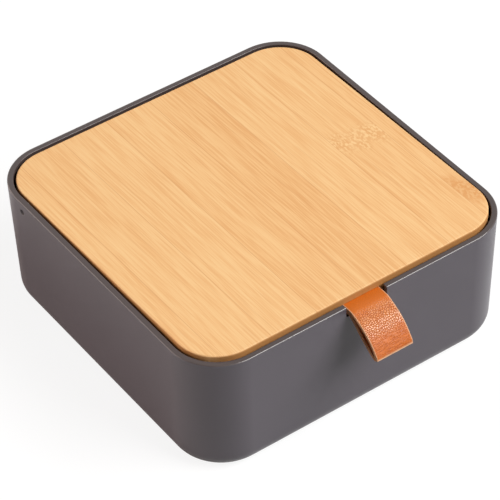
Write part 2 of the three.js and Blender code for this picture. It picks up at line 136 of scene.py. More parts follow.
class Side(Enum):
    """Left or right, seen from the front, as a sign along X."""

    LEFT = -1
    RIGHT = 1

    @property
    def word(self) -> str:
        """The side's name in a piece's name."""
        return self.name.lower()


def srgb(*display: float) -> Colour:
    """Turns a colour written in display values of 0 to 255 into the linear values that shaders take.

    Args:
        *display: its red, green and blue.

    Returns:
        The opaque linear colour.
    """

    def linear(value: float) -> float:
        """One channel of it."""
        share = value / 255.0
        return share / 12.92 if share <= 0.04045 else ((share + 0.055) / 1.055) ** 2.4

    return (*map(linear, display), 1.0)


def scaled(colour: Colour, share: float) -> Colour:
    """A linear colour made darker or lighter by a share."""
    return (*(min(1.0, channel * share) for channel in colour[:3]), 1.0)


class NodeGraph:
    """Adds and links the nodes of one shader tree or node group."""

    def __init__(self, tree: Tree) -> None:
        """Keeps the tree that nodes are added to."""
        self.tree = tree

    def add(self, kind: str, **settings: object) -> Node:
        """Adds a node.

        Args:
            kind: the node's type name, such as ShaderNodeMath.
            **settings: attributes of the node, and input values as in_NAME or in_NUMBER.

        Returns:
            The new node.
        """
        node = self.tree.nodes.new(kind)
        for key, value in settings.items():
            if key.startswith("in_"):
                name = key[3:]
                self.feed(value, node.inputs[int(name) if name.isdigit() else name.replace("_", " ")])
            else:
                setattr(node, key, value)
        return node

    def feed(self, value: object, socket: Socket) -> None:
        """Links a socket to another, or sets its value where a plain one is given.

        Args:
            value: a socket, number, vector or colour.
            socket: the input that takes it.
        """
        if isinstance(value, Socket):
            self.tree.links.new(value, socket)
        else:
            socket.default_value = value

    def give(self, node: Node, **values: object) -> None:
        """Feeds the inputs of a node, named with an underscore for each space."""
        for name, value in values.items():
            self.feed(value, node.inputs[name.replace("_", " ")])

    def math(self, operation: str, *values: object, clamp: bool = False) -> Socket:
        """One sum, product, comparison or the like.

        Args:
            operation: the Math node's operation.
            *values: its sockets and numbers.
            clamp: whether the result is held within 0 and 1.

        Returns:
            The result.
        """
        node = self.add("ShaderNodeMath", operation=operation, use_clamp=clamp)
        for index, value in enumerate(values):
            self.feed(value, node.inputs[index])
        return node.outputs[0]

    def product(self, *values: object) -> Socket:
        """The product of sockets and numbers."""
        return reduce(lambda first, second: self.math("MULTIPLY", first, second), values)

    def vectors(self, operation: str, first: object, second: object, output: str = "Vector") -> Socket:
        """One sum, product or distance of two vectors."""
        return self.add("ShaderNodeVectorMath", operation=operation, in_0=first, in_1=second).outputs[output]

    def ramp(self, value: object, low: float, high: float, out_low: object = 0.0, out_high: object = 1.0,
             smooth: bool = True) -> Socket:
        """Maps a value from one range to another and holds it there.

        Args:
            value: what is mapped.
            low: where its range starts.
            high: where its range ends.
            out_low: the result at the start.
            out_high: the result at the end.
            smooth: whether both ends are soft.

        Returns:
            The mapped value.
        """
        node = self.add("ShaderNodeMapRange", interpolation_type="SMOOTHSTEP" if smooth else "LINEAR")
        self.give(node, Value=value, From_Min=low, From_Max=high, To_Min=out_low, To_Max=out_high)
        return node.outputs["Result"]

    def fall(self, value: object, low: float, high: float) -> Socket:
        """Falls softly from 1 to 0 over a range."""
        return self.ramp(value, low, high, 1.0, 0.0)

    def between(self, share: object, first: object, second: object, smooth: bool = False) -> Socket:
        """Goes from the first value to the second as a share goes from 0 to 1."""
        return self.ramp(share, 0.0, 1.0, first, second, smooth)

    def mix(self, share: object, first: object, second: object) -> Socket:
        """Mixes two colours.

        Args:
            share: how much of the second there is.
            first: the colour at 0.
            second: the colour at 1.

        Returns:
            The mixed colour.
        """
        node = self.add("ShaderNodeMix", data_type="RGBA", blend_type="MIX", clamp_factor=True)
        self.feed(share, node.inputs["Factor"])
        colours = [socket for socket in node.inputs if socket.type == "RGBA"]
        self.feed(first, colours[0])
        self.feed(second, colours[1])
        return next(socket for socket in node.outputs if socket.type == "RGBA")

    def position(self) -> Socket:
        """Object coordinates, which are the frame's own metres on a finished piece."""
        return self.add("ShaderNodeTexCoord").outputs["Object"]

    def normal(self) -> Socket:
        """The way that the surface looks, in the frame's own axes."""
        return self.add("ShaderNodeTexCoord").outputs["Normal"]

    def axes(self, vector: Socket) -> dict[str, Socket]:
        """A vector's parts along X, Y and Z."""
        node = self.add("ShaderNodeSeparateXYZ", in_Vector=vector)
        return {axis: node.outputs[axis] for axis in "XYZ"}

    def vector_of(self, **parts: object) -> Socket:
        """A vector from its parts, given as in_X, in_Y and in_Z."""
        return self.add("ShaderNodeCombineXYZ", **parts).outputs[0]

    def stretched(self, vector: Socket, cells: Sequence[float], offset: object = (0.0, 0.0, 0.0)) -> Socket:
        """Moves a position by an offset, then multiplies it by the cells per metre along each axis."""
        return self.vectors("MULTIPLY", self.vectors("ADD", vector, offset), tuple(cells))

    def noise(self, vector: Socket, scale: object = 1.0, detail: float = 2.0, roughness: float = 0.5,
              distortion: float = 0.0, output: str = "Fac") -> Socket:
        """Smooth noise.

        Args:
            vector: the position.
            scale: cells per unit of the position.
            detail: how many finer layers it has.
            roughness: how strong the finer layers are.
            distortion: how far the cells are twisted.
            output: Fac for a number or Color for a vector.

        Returns:
            The noise, from 0 to 1.
        """
        return self.add("ShaderNodeTexNoise", in_Scale=scale, in_Detail=detail, in_Roughness=roughness,
                        in_Distortion=distortion, in_Vector=vector).outputs[output]

    def bump(self, shader: Node, height: Socket, strength: float, depth: float) -> None:
        """Gives a shader its relief.

        Args:
            shader: the Principled BSDF.
            height: the relief from 0 to 1.
            strength: how much of it shows.
            depth: the metres from 0 to 1.
        """
        node = self.add("ShaderNodeBump", in_Height=height, in_Strength=strength, in_Distance=depth)
        self.feed(node.outputs["Normal"], shader.inputs["Normal"])


def new_group(name: str, inputs: dict[str, float | None],
              outputs: Sequence[str]) -> tuple[NodeGraph, Node, Node]:
    """Starts a shader node group.

    Args:
        name: the group's name.
        inputs: each input's name with its default, or with None where it is a vector.
        outputs: the name of each output, all of them numbers.

    Returns:
        A graph to add its nodes with, and its input and output nodes.
    """
    tree = bpy.data.node_groups.new(name, "ShaderNodeTree")
    for label, value in inputs.items():
        kind = "NodeSocketVector" if value is None else "NodeSocketFloat"
        socket = tree.interface.new_socket(name=label, in_out="INPUT", socket_type=kind)
        if value is not None:
            socket.default_value = value
    for label in outputs:
        tree.interface.new_socket(name=label, in_out="OUTPUT", socket_type="NodeSocketFloat")
    graph = NodeGraph(tree)
    return graph, graph.add("NodeGroupInput"), graph.add("NodeGroupOutput")


@dataclass(frozen=True)
class NoiseLayer:
    """One noise that a group puts out, and the group's input for its cells per metre."""

    output: str
    cells: str
    cells_per_metre: float
    detail: float
    roughness: float = 0.5
    distortion: float = 0.0


@dataclass
class SharedEffects:
    """The shader node groups that more than one finish uses, each built once."""

    mottle: Tree = field(init=False)
    fibres: Tree = field(init=False)
    nap: Tree = field(init=False)

    def __post_init__(self) -> None:
        """Builds the three groups: grain and mottle of a moulding, fibres of bamboo, nap of cloth."""
        self.mottle = self._layered("moulded_mottle", [
            NoiseLayer("Grain", "Grain Per Metre", 2500.0, detail=1.0),
            NoiseLayer("Cloud", "Cloud Per Metre", 25.0, detail=3.0),
        ])
        self.fibres = self._build_fibres()
        self.nap = self._layered("cloth_nap", [
            NoiseLayer("Fibre", "Fibres Per Metre", 1800.0, detail=3.0, roughness=0.7, distortion=1.5),
            NoiseLayer("Patch", "Patches Per Metre", 60.0, detail=2.0),
        ])

    @staticmethod
    def _layered(name: str, layers: Sequence[NoiseLayer]) -> Tree:
        """Builds a group of noises on Object coordinates.

        Args:
            name: the group's name.
            layers: its noises.

        Returns:
            The group.
        """
        graph, given, made = new_group(name, {layer.cells: layer.cells_per_metre for layer in layers},
                                       [layer.output for layer in layers])
        position = graph.position()
        for layer in layers:
            noise = graph.noise(position, given.outputs[layer.cells], layer.detail, layer.roughness,
                                layer.distortion)
            graph.feed(noise, made.inputs[layer.output])
        return graph.tree

    @staticmethod
    def _build_fibres() -> Tree:
        """Bamboo: streaks, fine fibres and sparse dark fibre bundles along Y, shifted for each strip.

        Returns:
            The group.
        """
        wander_cells, sway_reach = (12.0, 9.0, 12.0), 1.2 * MM
        streak_cells, bundle_cells = (150.0, 6.0, 150.0), (900.0, 22.0, 900.0)
        fibre_cells = (1300.0, 30.0, 1300.0)
        sparse = (0.62, 0.74)
        graph, given, made = new_group("bamboo_fibres", {"Vector": None, "Shift": 0.0},
                                       ["Streak", "Fibre", "Bundle"])
        vector, by = given.outputs["Vector"], given.outputs["Shift"]
        shift = graph.vector_of(in_X=by, in_Y=by, in_Z=by)
        wander = graph.noise(graph.stretched(vector, wander_cells, shift), detail=1.0)
        swayed = graph.vectors("ADD", vector, graph.vector_of(in_X=graph.product(wander, sway_reach)))
        streak = graph.noise(graph.stretched(swayed, streak_cells, shift), detail=3.0)
        fibre = graph.noise(graph.stretched(swayed, fibre_cells, shift), roughness=0.6)
        bundle = graph.noise(graph.stretched(swayed, bundle_cells, shift), detail=1.0)
        graph.give(made, Streak=streak, Fibre=fibre, Bundle=graph.ramp(bundle, *sparse))
        return graph.tree


def start_material(name: str) -> tuple[Material, NodeGraph, Node]:
    """Makes a new material with its Principled BSDF.

    Args:
        name: the material's name.

    Returns:
        The material, a graph for its nodes, and its shader.
    """
    material = bpy.data.materials.new(name)
    material.use_nodes = True
    return material, NodeGraph(material.node_tree), material.node_tree.nodes["Principled BSDF"]


@dataclass(frozen=True)
class CaseInside:
    """The case's inside, painted in shade: within the middle of its wall all round, and in the pins' bores.

    The wall's middle is a rounded square that grows with the height.
    """

    half_at_foot: float
    growth: float
    radius: float
    middle_y: float
    hinge: Vector
    bore: float
    fade: float = 0.3 * MM

    def share(self, graph: NodeGraph) -> Socket:
        """Tells the inside from the outside.

        Args:
            graph: the material's graph.

        Returns:
            1 where the surface lies inside and 0 where it lies outside.
        """
        place = graph.axes(graph.position())
        straight = graph.math("MULTIPLY_ADD", place["Z"], self.growth, self.half_at_foot - self.radius)
        squares = []
        for axis, middle in (("X", 0.0), ("Y", self.middle_y)):
            out = graph.math("ABSOLUTE", graph.math("SUBTRACT", place[axis], middle))
            over = graph.math("MAXIMUM", graph.math("SUBTRACT", out, straight), 0.0)
            squares.append(graph.product(over, over))
        distance = graph.math("SQRT", graph.math("ADD", *squares))
        walled = graph.fall(distance, self.radius - self.fade, self.radius + self.fade)
        level = graph.vector_of(in_Y=place["Y"], in_Z=place["Z"])
        from_pins = graph.vectors("DISTANCE", level, (0.0, self.hinge.y, self.hinge.z), "Value")
        return graph.math("MAXIMUM", walled, graph.fall(from_pins, self.bore, self.bore + self.fade))


@dataclass(frozen=True)
class MouldedFinish:
    """Plastic, nylon or rubber out of a mould.

    With an inside it has painted shade there and where it looks up; its outer rounds shine at the front.
    """

    name: str
    colour: Colour
    roughness: float
    grain_per_metre: float = 2500.0
    grain_depth: float = 0.01 * MM
    grain_strength: float = 0.35
    mottle_share: float = 0.08
    mottle_span: Span = (0.3, 0.7)
    specular: float = 0.5
    inside: CaseInside | None = None
    # the painted shade colour, for the inside, the pins' bores and faces that look up
    painted_shade_colour: Colour = (0.0, 0.0, 0.0, 1.0)
    shaded_up_span: Span = (0.3, 0.6)
    round_from: Span = (0.64, 0.76)
    round_to: Span = (0.84, 0.95)
    looks_front: Span = (-0.68, -0.4)
    round_gloss: float = 0.9
    round_roughness: float = 0.15

    def build(self, effects: SharedEffects) -> Material:
        """Makes the material.

        Args:
            effects: the shared groups.

        Returns:
            The material.
        """
        material, graph, shader = start_material(self.name)
        mottle = graph.add("ShaderNodeGroup", node_tree=effects.mottle, in_Grain_Per_Metre=self.grain_per_metre)
        cloud = graph.ramp(mottle.outputs["Cloud"], *self.mottle_span)
        colour = graph.mix(cloud, scaled(self.colour, 1.0 - self.mottle_share),
                           scaled(self.colour, 1.0 + self.mottle_share))
        if self.inside:
            colour = self._add_inside(graph, shader, colour)
        vary = self.mottle_share / 3
        gloss = graph.between(cloud, self.roughness - vary, self.roughness + vary)
        graph.give(shader, Base_Color=colour, Roughness=gloss, Specular_IOR_Level=self.specular)
        graph.bump(shader, mottle.outputs["Grain"], self.grain_strength, self.grain_depth)
        return material

    def _add_inside(self, graph: NodeGraph, shader: Node, colour: Socket) -> Socket:
        """Adds painted shade inside and where the case looks up, and the shine of the outer rounds at the
        front.

        Args:
            graph: the material's graph.
            shader: its shader.
            colour: the colour so far.

        Returns:
            The colour with the painted shade in it.
        """
        looks = graph.axes(graph.normal())
        inside = self.inside.share(graph)
        shine = graph.product(
            graph.ramp(looks["Z"], *self.round_from), graph.fall(looks["Z"], *self.round_to),
            graph.fall(looks["Y"], *self.looks_front),
            graph.between(inside, self.round_gloss, 0.0, smooth=True),
        )
        graph.give(shader, Coat_Weight=shine, Coat_Roughness=self.round_roughness)
        # painted shade: the inside, the pins' bores and faces that look up darken to the painted shade colour
        dark = graph.math("MAXIMUM", inside, graph.ramp(looks["Z"], *self.shaded_up_span))
        return graph.mix(dark, colour, self.painted_shade_colour)


@dataclass(frozen=True)
class NodeBand:
    """Where the cane of one strip had a node: a darker patch, with short pale flecks across the grain."""

    strip: int
    middle: float
    half_height: float
    darker: float
    flecked: float


@dataclass(frozen=True)
class BambooFinish:
    """Glued bamboo strips with the grain along Y, or along X where crosswise."""

    name: str
    strip_width: float
    first_joint: float
    strip_tones: tuple[float, ...]
    light: Colour = srgb(249, 212, 156)
    middle: Colour = srgb(240, 192, 134)
    dark: Colour = srgb(221, 159, 98)
    line: Colour = srgb(196, 124, 66)
    # edge: the board's sawn faces, darker as end grain and as painted shade of its sides
    edge: Colour = srgb(178, 120, 64)
    grain_and_shade_axes: tuple[str, ...] = ("Y",)
    grain_and_shade_share: float = 0.55
    grain_and_shade_turn: Span = (0.5, 0.95)
    tone_weight: float = 0.5
    streak_weight: float = 0.14
    streak_span: Span = (0.3, 0.7)
    fibre_weight: float = 0.36
    fibre_span: Span = (0.32, 0.68)
    bundle_share: float = 0.16
    strip_shift: float = 0.371
    joint_width: float = 0.35 * MM
    joint_share: float = 0.42
    roughness: float = 0.62
    roughness_low: float = 0.05
    roughness_high: float = -0.04
    line_depth: float = 0.5
    relief_strength: float = 0.3
    relief_depth: float = 0.05 * MM
    specular: float = 0.25
    crosswise: bool = False
    node_bands: tuple[NodeBand, ...] = ()
    fleck_cells: Triple = (900.0, 480.0, 700.0)
    fleck_span: Span = (0.42, 0.62)
    fleck_twist: float = 0.4
    band_cells: Triple = (170.0, 45.0, 60.0)
    band_fade: Span = (0.3, 1.2)

    def build(self, effects: SharedEffects) -> Material:
        """Makes the material.

        Args:
            effects: the shared groups.

        Returns:
            The material.
        """
        material, graph, shader = start_material(self.name)
        position = graph.position()
        if self.crosswise:
            position = graph.add("ShaderNodeVectorRotate", rotation_type="Z_AXIS", in_Vector=position,
                                 in_Angle=math.pi / 2).outputs[0]
        place = graph.axes(position)
        across = graph.math("DIVIDE", graph.math("SUBTRACT", place["X"], self.first_joint), self.strip_width)
        index = graph.math("FLOOR", across)
        fibres = graph.add("ShaderNodeGroup", node_tree=effects.fibres, in_Vector=position,
                           in_Shift=graph.product(index, self.strip_shift))
        streak = graph.ramp(fibres.outputs["Streak"], *self.streak_span)
        fine = graph.ramp(fibres.outputs["Fibre"], *self.fibre_span)
        weights = (self.tone_weight, self.streak_weight, self.fibre_weight)
        shade = 0.5 * (1.0 - sum(weights))
        for value, weight in zip((self._strip_tone(graph, index), streak, fine), weights):
            shade = graph.math("MULTIPLY_ADD", value, weight, shade)
        colour = graph.mix(graph.ramp(shade, 0.0, 0.5, smooth=False), self.dark, self.middle)
        colour = graph.mix(graph.ramp(shade, 0.5, 1.0, smooth=False), colour, self.light)
        joint = self._joint_line(graph, graph.math("SUBTRACT", across, index))
        lines = graph.math("MAXIMUM", graph.product(fibres.outputs["Bundle"], self.bundle_share), joint)
        colour = graph.mix(lines, colour, self.line)
        if self.node_bands:
            colour = self._add_nodes(graph, place["Y"], index, colour)
        # painted shade on the board's sides, with darker end grain
        colour = graph.mix(self._edge_faces(graph), colour, self.edge)
        gloss = graph.between(fine, self.roughness + self.roughness_low, self.roughness + self.roughness_high,
                              smooth=True)
        graph.give(shader, Base_Color=colour, Roughness=gloss, Specular_IOR_Level=self.specular)
        height = graph.math("SUBTRACT", fine, graph.product(lines, self.line_depth))
        graph.bump(shader, height, self.relief_strength, self.relief_depth)
        return material

    def _strip_tone(self, graph: NodeGraph, index: Socket) -> Socket:
        """Gives each strip its tone, one stop of a stepped ramp for each.

        Args:
            graph: the material's graph.
            index: the strip's number.

        Returns:
            The tone.
        """
        count = len(self.strip_tones)
        ramp = graph.add("ShaderNodeValToRGB")
        ramp.color_ramp.interpolation = "CONSTANT"
        stops = ramp.color_ramp.elements
        while len(stops) < count:
            stops.new(1.0)
        for at, tone in enumerate(self.strip_tones):
            stops[at].position = at / count
            stops[at].color = (tone, tone, tone, 1.0)
        turn = graph.math("FLOORED_MODULO", index, float(count))
        graph.give(ramp, Fac=graph.math("DIVIDE", graph.math("ADD", turn, 0.5), float(count)))
        return ramp.outputs["Color"]

    def _joint_line(self, graph: NodeGraph, within: Socket) -> Socket:
        """A thin dark glue line where two strips meet."""
        edge = graph.math("MINIMUM", within, graph.math("SUBTRACT", 1.0, within))
        return graph.ramp(edge, 0.0, self.joint_width / self.strip_width, self.joint_share, 0.0)

    def _edge_faces(self, graph: NodeGraph) -> Socket:
        """Finds the faces that look along the given axes: darker end grain, and painted shade on the board's
        sides.

        Args:
            graph: the material's graph.

        Returns:
            The share of the edge's colour.
        """
        looks = graph.axes(graph.normal())
        most = 0.0
        for axis in self.grain_and_shade_axes:
            most = graph.math("MAXIMUM", most, graph.math("ABSOLUTE", looks[axis]))
        return graph.ramp(most, *self.grain_and_shade_turn, 0.0, self.grain_and_shade_share)

    def _add_nodes(self, graph: NodeGraph, along: Socket, index: Socket, colour: Socket) -> Socket:
        """Adds the bands of flecks.

        Args:
            graph: the material's graph.
            along: the place along the grain.
            index: each strip's number.
            colour: the colour so far.

        Returns:
            The colour with the bands in it.
        """
        position = graph.position()
        flecks = graph.noise(graph.stretched(position, self.fleck_cells), distortion=self.fleck_twist)
        flecks = graph.ramp(flecks, *self.fleck_span)
        edge_noise = graph.noise(graph.stretched(position, self.band_cells))
        for band in self.node_bands:
            wave = graph.product(graph.math("SUBTRACT", edge_noise, 0.5), band.half_height * 2.0)
            offset = graph.math("SUBTRACT", along, graph.math("ADD", wave, band.middle))
            far = graph.math("DIVIDE", graph.math("ABSOLUTE", offset), band.half_height)
            same = graph.math("COMPARE", index, float(band.strip), 0.1)
            here = graph.product(graph.fall(far, *self.band_fade), same)
            colour = graph.mix(graph.product(here, band.darker), colour, self.dark)
            colour = graph.mix(graph.product(here, flecks, band.flecked), colour, self.light)
        return colour


@dataclass(frozen=True)
class LeatherFinish:
    """Leather, pebbled where it bends, finely creased below, with painted highlights along its edges and hard
    fold.
    """

    name: str
    fold_height: float
    half_width: float
    colour: Colour = srgb(209, 107, 20)
    # the darker colour in the creases between pebbles: painted shade
    crease: Colour = srgb(176, 82, 16)
    # paler pebble tops at the bend: painted highlight, with some wear
    wear_and_highlight: Colour = srgb(228, 148, 86)
    # the paler colour at the hard fold and along the long edges: painted highlight, at the fold also stretched
    # leather
    fold: Colour = srgb(240, 196, 156)
    clouds_per_metre: float = 160.0
    cloud_span: Span = (0.3, 0.65)
    wear_and_highlight_share: Span = (0.1, 0.75)
    fold_span: Span = (0.9 * MM, 2.1 * MM)
    fold_share: float = 0.85
    # where the painted highlight runs along the long edges
    edge_highlight_span: Span = (0.7 * MM, 0.3 * MM)
    edge_highlight_share: float = 0.6
    pebbles_per_metre: float = 950.0
    pebble_depth: float = 0.15 * MM
    pebble_slope: float = 0.24
    warps_per_metre: float = 500.0
    warp_reach: float = 0.7 * MM
    bend_run: float = 26.5 * MM
    bend_half: float = 4.0 * MM
    bend_fade: float = 5.5 * MM
    least_relief: float = 0.25
    crease_cells: Triple = (220.0, 2600.0, 0.0)
    crease_span: Span = (0.46, 0.62)
    crease_share: float = 0.6
    creased_from: float = 30.0 * MM
    creased_fully: float = 35.0 * MM
    roughness: float = 0.24
    roughness_below: float = 0.46
    specular: float = 0.5

    def build(self, effects: SharedEffects) -> Material:
        """Makes the material.

        Args:
            effects: the shared groups.

        Returns:
            The material.
        """
        material, graph, shader = start_material(self.name)
        mottle = graph.add("ShaderNodeGroup", node_tree=effects.mottle,
                           in_Cloud_Per_Metre=self.clouds_per_metre)
        run = graph.add("ShaderNodeUVMap", uv_map=STRAP_RUN).outputs["UV"]
        along = graph.axes(run)["Y"]
        from_bend = graph.math("ABSOLUTE", graph.math("SUBTRACT", along, self.bend_run))
        at_bend = graph.fall(from_bend, self.bend_half, self.bend_half + self.bend_fade)
        pebble = self._relief(graph, run, along, at_bend)
        raised = graph.product(pebble, at_bend)
        cloud = graph.ramp(mottle.outputs["Cloud"], *self.cloud_span, *self.wear_and_highlight_share)
        # painted shade in the creases
        colour = graph.mix(pebble, self.crease, self.colour)
        # painted highlight on the pebble tops at the bend, with some wear
        colour = graph.mix(graph.product(cloud, raised), colour, self.wear_and_highlight)
        # painted highlight along the long edges and at the fold
        colour = graph.mix(self._paler(graph), colour, self.fold)
        gloss = graph.between(raised, self.roughness_below, self.roughness, smooth=True)
        graph.give(shader, Base_Color=colour, Roughness=gloss, Specular_IOR_Level=self.specular)
        graph.bump(shader, pebble, 1.0, self.pebble_depth)
        return material

    def _paler(self, graph: NodeGraph) -> Socket:
        """Finds the hard fold and the long edges, where the paler colour is a painted highlight.

        Args:
            graph: the material's graph.

        Returns:
            The share of the paler colour.
        """
        place = graph.axes(graph.position())
        fold_low, fold_high = (self.fold_height + past for past in self.fold_span)
        edge_highlight_low, edge_highlight_high = (self.half_width - before for before in self.edge_highlight_span)
        folded = graph.ramp(place["Z"], fold_low, fold_high, self.fold_share, 0.0)
        # painted highlight along the long edges
        edge_highlight = graph.ramp(graph.math("ABSOLUTE", place["X"]), edge_highlight_low, edge_highlight_high, 0.0, self.edge_highlight_share)
        return graph.math("MAXIMUM", folded, edge_highlight)

    def _relief(self, graph: NodeGraph, run: Socket, along: Socket, at_bend: Socket) -> Socket:
        """Makes domed cells and fine creases along the strap's own run.

        Args:
            graph: the material's graph.
            run: the place on the strap laid flat.
            along: its part along the strap.
            at_bend: 1 at the bend and 0 away from it.

        Returns:
            The relief, from 0 in the creases to 1 on top.
        """
        warp = graph.noise(run, self.warps_per_metre, output="Color")
        warp = graph.vectors("MULTIPLY", warp, (self.warp_reach,) * 3)
        cells = graph.add("ShaderNodeTexVoronoi", voronoi_dimensions="2D", feature="DISTANCE_TO_EDGE",
                          in_Vector=graph.vectors("ADD", run, warp), in_Scale=self.pebbles_per_metre)
        dome = graph.ramp(cells.outputs["Distance"], 0.0, self.pebble_slope)
        relief = graph.between(at_bend, self.least_relief, 1.0)
        pebbled = graph.math("MULTIPLY_ADD", graph.math("SUBTRACT", dome, 1.0), relief, 1.0)
        streaks = graph.noise(graph.vectors("MULTIPLY", run, self.crease_cells))
        creases = graph.ramp(streaks, *self.crease_span, 0.0, self.crease_share)
        creased = graph.product(creases, graph.ramp(along, self.creased_from, self.creased_fully))
        return graph.math("SUBTRACT", pebbled, creased, clamp=True)


@dataclass(frozen=True)
class ClothFinish:
    """Felt or velvet, by its fibres, nap and sheen."""

    name: str
    colour: Colour
    fibres_per_metre: float
    patches_per_metre: float
    depth: float
    patch_share: float
    sheen: float
    fibre_span: Span = (0.3, 0.7)
    patch_span: Span = (0.4, 0.7)
    darker: float = 0.62
    paler: float = 1.35
    relief_strength: float = 0.7
    roughness: float = 0.95
    specular: float = 0.15
    sheen_roughness: float = 0.4

    def build(self, effects: SharedEffects) -> Material:
        """Makes the material.

        Args:
            effects: the shared groups.

        Returns:
            The material.
        """
        material, graph, shader = start_material(self.name)
        nap = graph.add("ShaderNodeGroup", node_tree=effects.nap, in_Fibres_Per_Metre=self.fibres_per_metre,
                        in_Patches_Per_Metre=self.patches_per_metre)
        fibre = graph.ramp(nap.outputs["Fibre"], *self.fibre_span)
        patch = graph.product(graph.ramp(nap.outputs["Patch"], *self.patch_span), self.patch_share)
        colour = graph.mix(fibre, scaled(self.colour, self.darker), self.colour)
        colour = graph.mix(patch, colour, scaled(self.colour, self.paler))
        graph.give(shader, Base_Color=colour, Roughness=self.roughness, Specular_IOR_Level=self.specular,
                   Sheen_Weight=self.sheen, Sheen_Roughness=self.sheen_roughness)
        graph.bump(shader, nap.outputs["Fibre"], self.relief_strength, self.depth)
        return material


@dataclass(frozen=True)
class MetalFinish:
    """Drawn or polished metal with fine turning marks."""

    name: str
    colour: Colour
    roughness: float
    mark_depth: float = 0.004 * MM
    mark_strength: float = 0.3
    marks_per_metre: float = 9000.0
    tarnish: float = 0.18
    tarnish_span: Span = (0.4, 0.8)

    def build(self, effects: SharedEffects) -> Material:
        """Makes the material.

        Args:
            effects: the shared groups.

        Returns:
            The material.
        """
        material, graph, shader = start_material(self.name)
        mottle = graph.add("ShaderNodeGroup", node_tree=effects.mottle, in_Grain_Per_Metre=self.marks_per_metre)
        dulled = graph.ramp(mottle.outputs["Cloud"], *self.tarnish_span)
        colour = graph.mix(dulled, self.colour, scaled(self.colour, 1.0 - self.tarnish))
        gloss = graph.between(dulled, self.roughness, self.roughness + self.tarnish / 3, smooth=True)
        graph.give(shader, Base_Color=colour, Roughness=gloss, Metallic=1.0)
        graph.bump(shader, mottle.outputs["Grain"], self.mark_strength, self.mark_depth)
        return material


@dataclass(frozen=True)
class Finishes:
    """Every material of the box, by the part that wears it."""

    case: Material
    lid: Material
    divider_across: Material
    divider_along: Material
    leather: Material
    leather_edge: Material
    felt: Material
    velvet: Material
    mirror: Material
    steel: Material
    dark_steel: Material
    nylon: Material
    rubber: Material

    @classmethod
    def made(cls, inside: CaseInside, fold_height: float, strap_half_width: float) -> Finishes:
        """Builds each material once.

        Args:
            inside: what counts as the case's inside.
            fold_height: the height of the strap's hard fold.
            strap_half_width: half the strap's width.

        Returns:
            The materials.
        """
        board_strips = (14.0 * MM, -0.6, (0.6, 0.4))
        built = {
            # the case: painted shade in srgb(72, 61, 59) inside, in the pins' bores and on faces that look up
            "case": MouldedFinish("case_satin_plastic", srgb(93, 87, 94), 0.3, grain_per_metre=2200.0,
                                  mottle_share=0.03, inside=inside, painted_shade_colour=srgb(72, 61, 59)),
            "lid": BambooFinish(
                "lid_bamboo_strips",
                strip_width=25.4 * MM,
                first_joint=-101.0 * MM,
                strip_tones=(0.52, 0.55, 0.66, 0.5, 0.36, 0.6, 0.56, 0.42),
                # the lid's sides on both axes take painted shade, on top of darker end grain
                grain_and_shade_axes=("X", "Y"),
                grain_and_shade_share=0.9,
                node_bands=(NodeBand(6, 10.5 * MM, 9.0 * MM, darker=0.42, flecked=0.75),
                            NodeBand(7, -50.0 * MM, 12.0 * MM, darker=0.85, flecked=0.35)),
            ),
            "divider_across": BambooFinish("divider_bamboo_across", *board_strips, crosswise=True,
                                           grain_and_shade_axes=("X",)),
            "divider_along": BambooFinish("divider_bamboo_along", *board_strips),
            "leather": LeatherFinish("loop_leather", fold_height, strap_half_width),
            "leather_edge": MouldedFinish("loop_cut_edge", srgb(220, 162, 118), 0.6, grain_per_metre=1500.0,
                                          grain_depth=0.08 * MM, mottle_share=0.25, specular=0.2),
            "felt": ClothFinish("liner_felt_grey", srgb(112, 106, 102), 1500.0, 90.0, 0.12 * MM,
                                patch_share=0.25, sheen=0.3),
            "velvet": ClothFinish("roll_velvet_grey", srgb(128, 120, 114), 3200.0, 45.0, 0.06 * MM,
                                  patch_share=0.45, sheen=0.8),
            "mirror": MetalFinish("mirror_silvered", (0.74, 0.78, 0.79, 1.0), 0.01, 0.0001 * MM, tarnish=0.03),
            "steel": MetalFinish("screw_steel", srgb(176, 178, 180), 0.28),
            "dark_steel": MetalFinish("pin_blackened_steel", srgb(13, 12, 12), 0.6),
            "nylon": MouldedFinish("bush_nylon_white", srgb(226, 222, 212), 0.45),
            "rubber": MouldedFinish("foot_rubber_dark", srgb(46, 44, 43), 0.75, grain_per_metre=1600.0,
                                    grain_depth=0.03 * MM, specular=0.3),
        }
        effects = SharedEffects()
        return cls(**{part: finish.build(effects) for part, finish in built.items()})


def cube_bmesh(low: Sequence[float], high: Sequence[float]) -> Solid:
    """A closed block between two corners.

    Args:
        low: its lowest corner.
        high: its highest corner.

    Returns:
        The block.
    """
    bm = bmesh.new()
    bmesh.ops.create_cube(bm, size=1.0)
    low, high = Vector(low), Vector(high)
    bmesh.ops.scale(bm, vec=high - low, verts=bm.verts)
    return moved(bm, (low + high) / 2)


def moved(bm: Solid, by: Sequence[float]) -> Solid:
    """Moves a whole solid and hands it back."""
    bmesh.ops.translate(bm, vec=by, verts=bm.verts)
    return bm


def draw_in(bm: Solid, share: float, below: float) -> None:
    """Scales what lies below a height towards the Z axis."""
    bmesh.ops.scale(bm, vec=(share, share, 1.0), verts=[v for v in bm.verts if v.co.z < below])


def new_verts(swept: dict[str, list]) -> list[bmesh.types.BMVert]:
    """The new vertices of an extrusion."""
    return [item for item in swept["geom"] if isinstance(item, bmesh.types.BMVert)]


def under_middle(node: str) -> Vector:
    """The middle of the underside of a CAD node's box."""
    low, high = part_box(node)
    return Vector(((low.x + high.x) / 2, (low.y + high.y) / 2, low.z))


def bevel(bm: Solid, edges: Sequence[Edge], width: float, segments: int) -> None:
    """Rounds edges by a width."""
    bmesh.ops.bevel(bm, geom=list(edges), offset=width, segments=segments, profile=0.5, affect="EDGES",
                    clamp_overlap=False, loop_slide=True, material=-1)


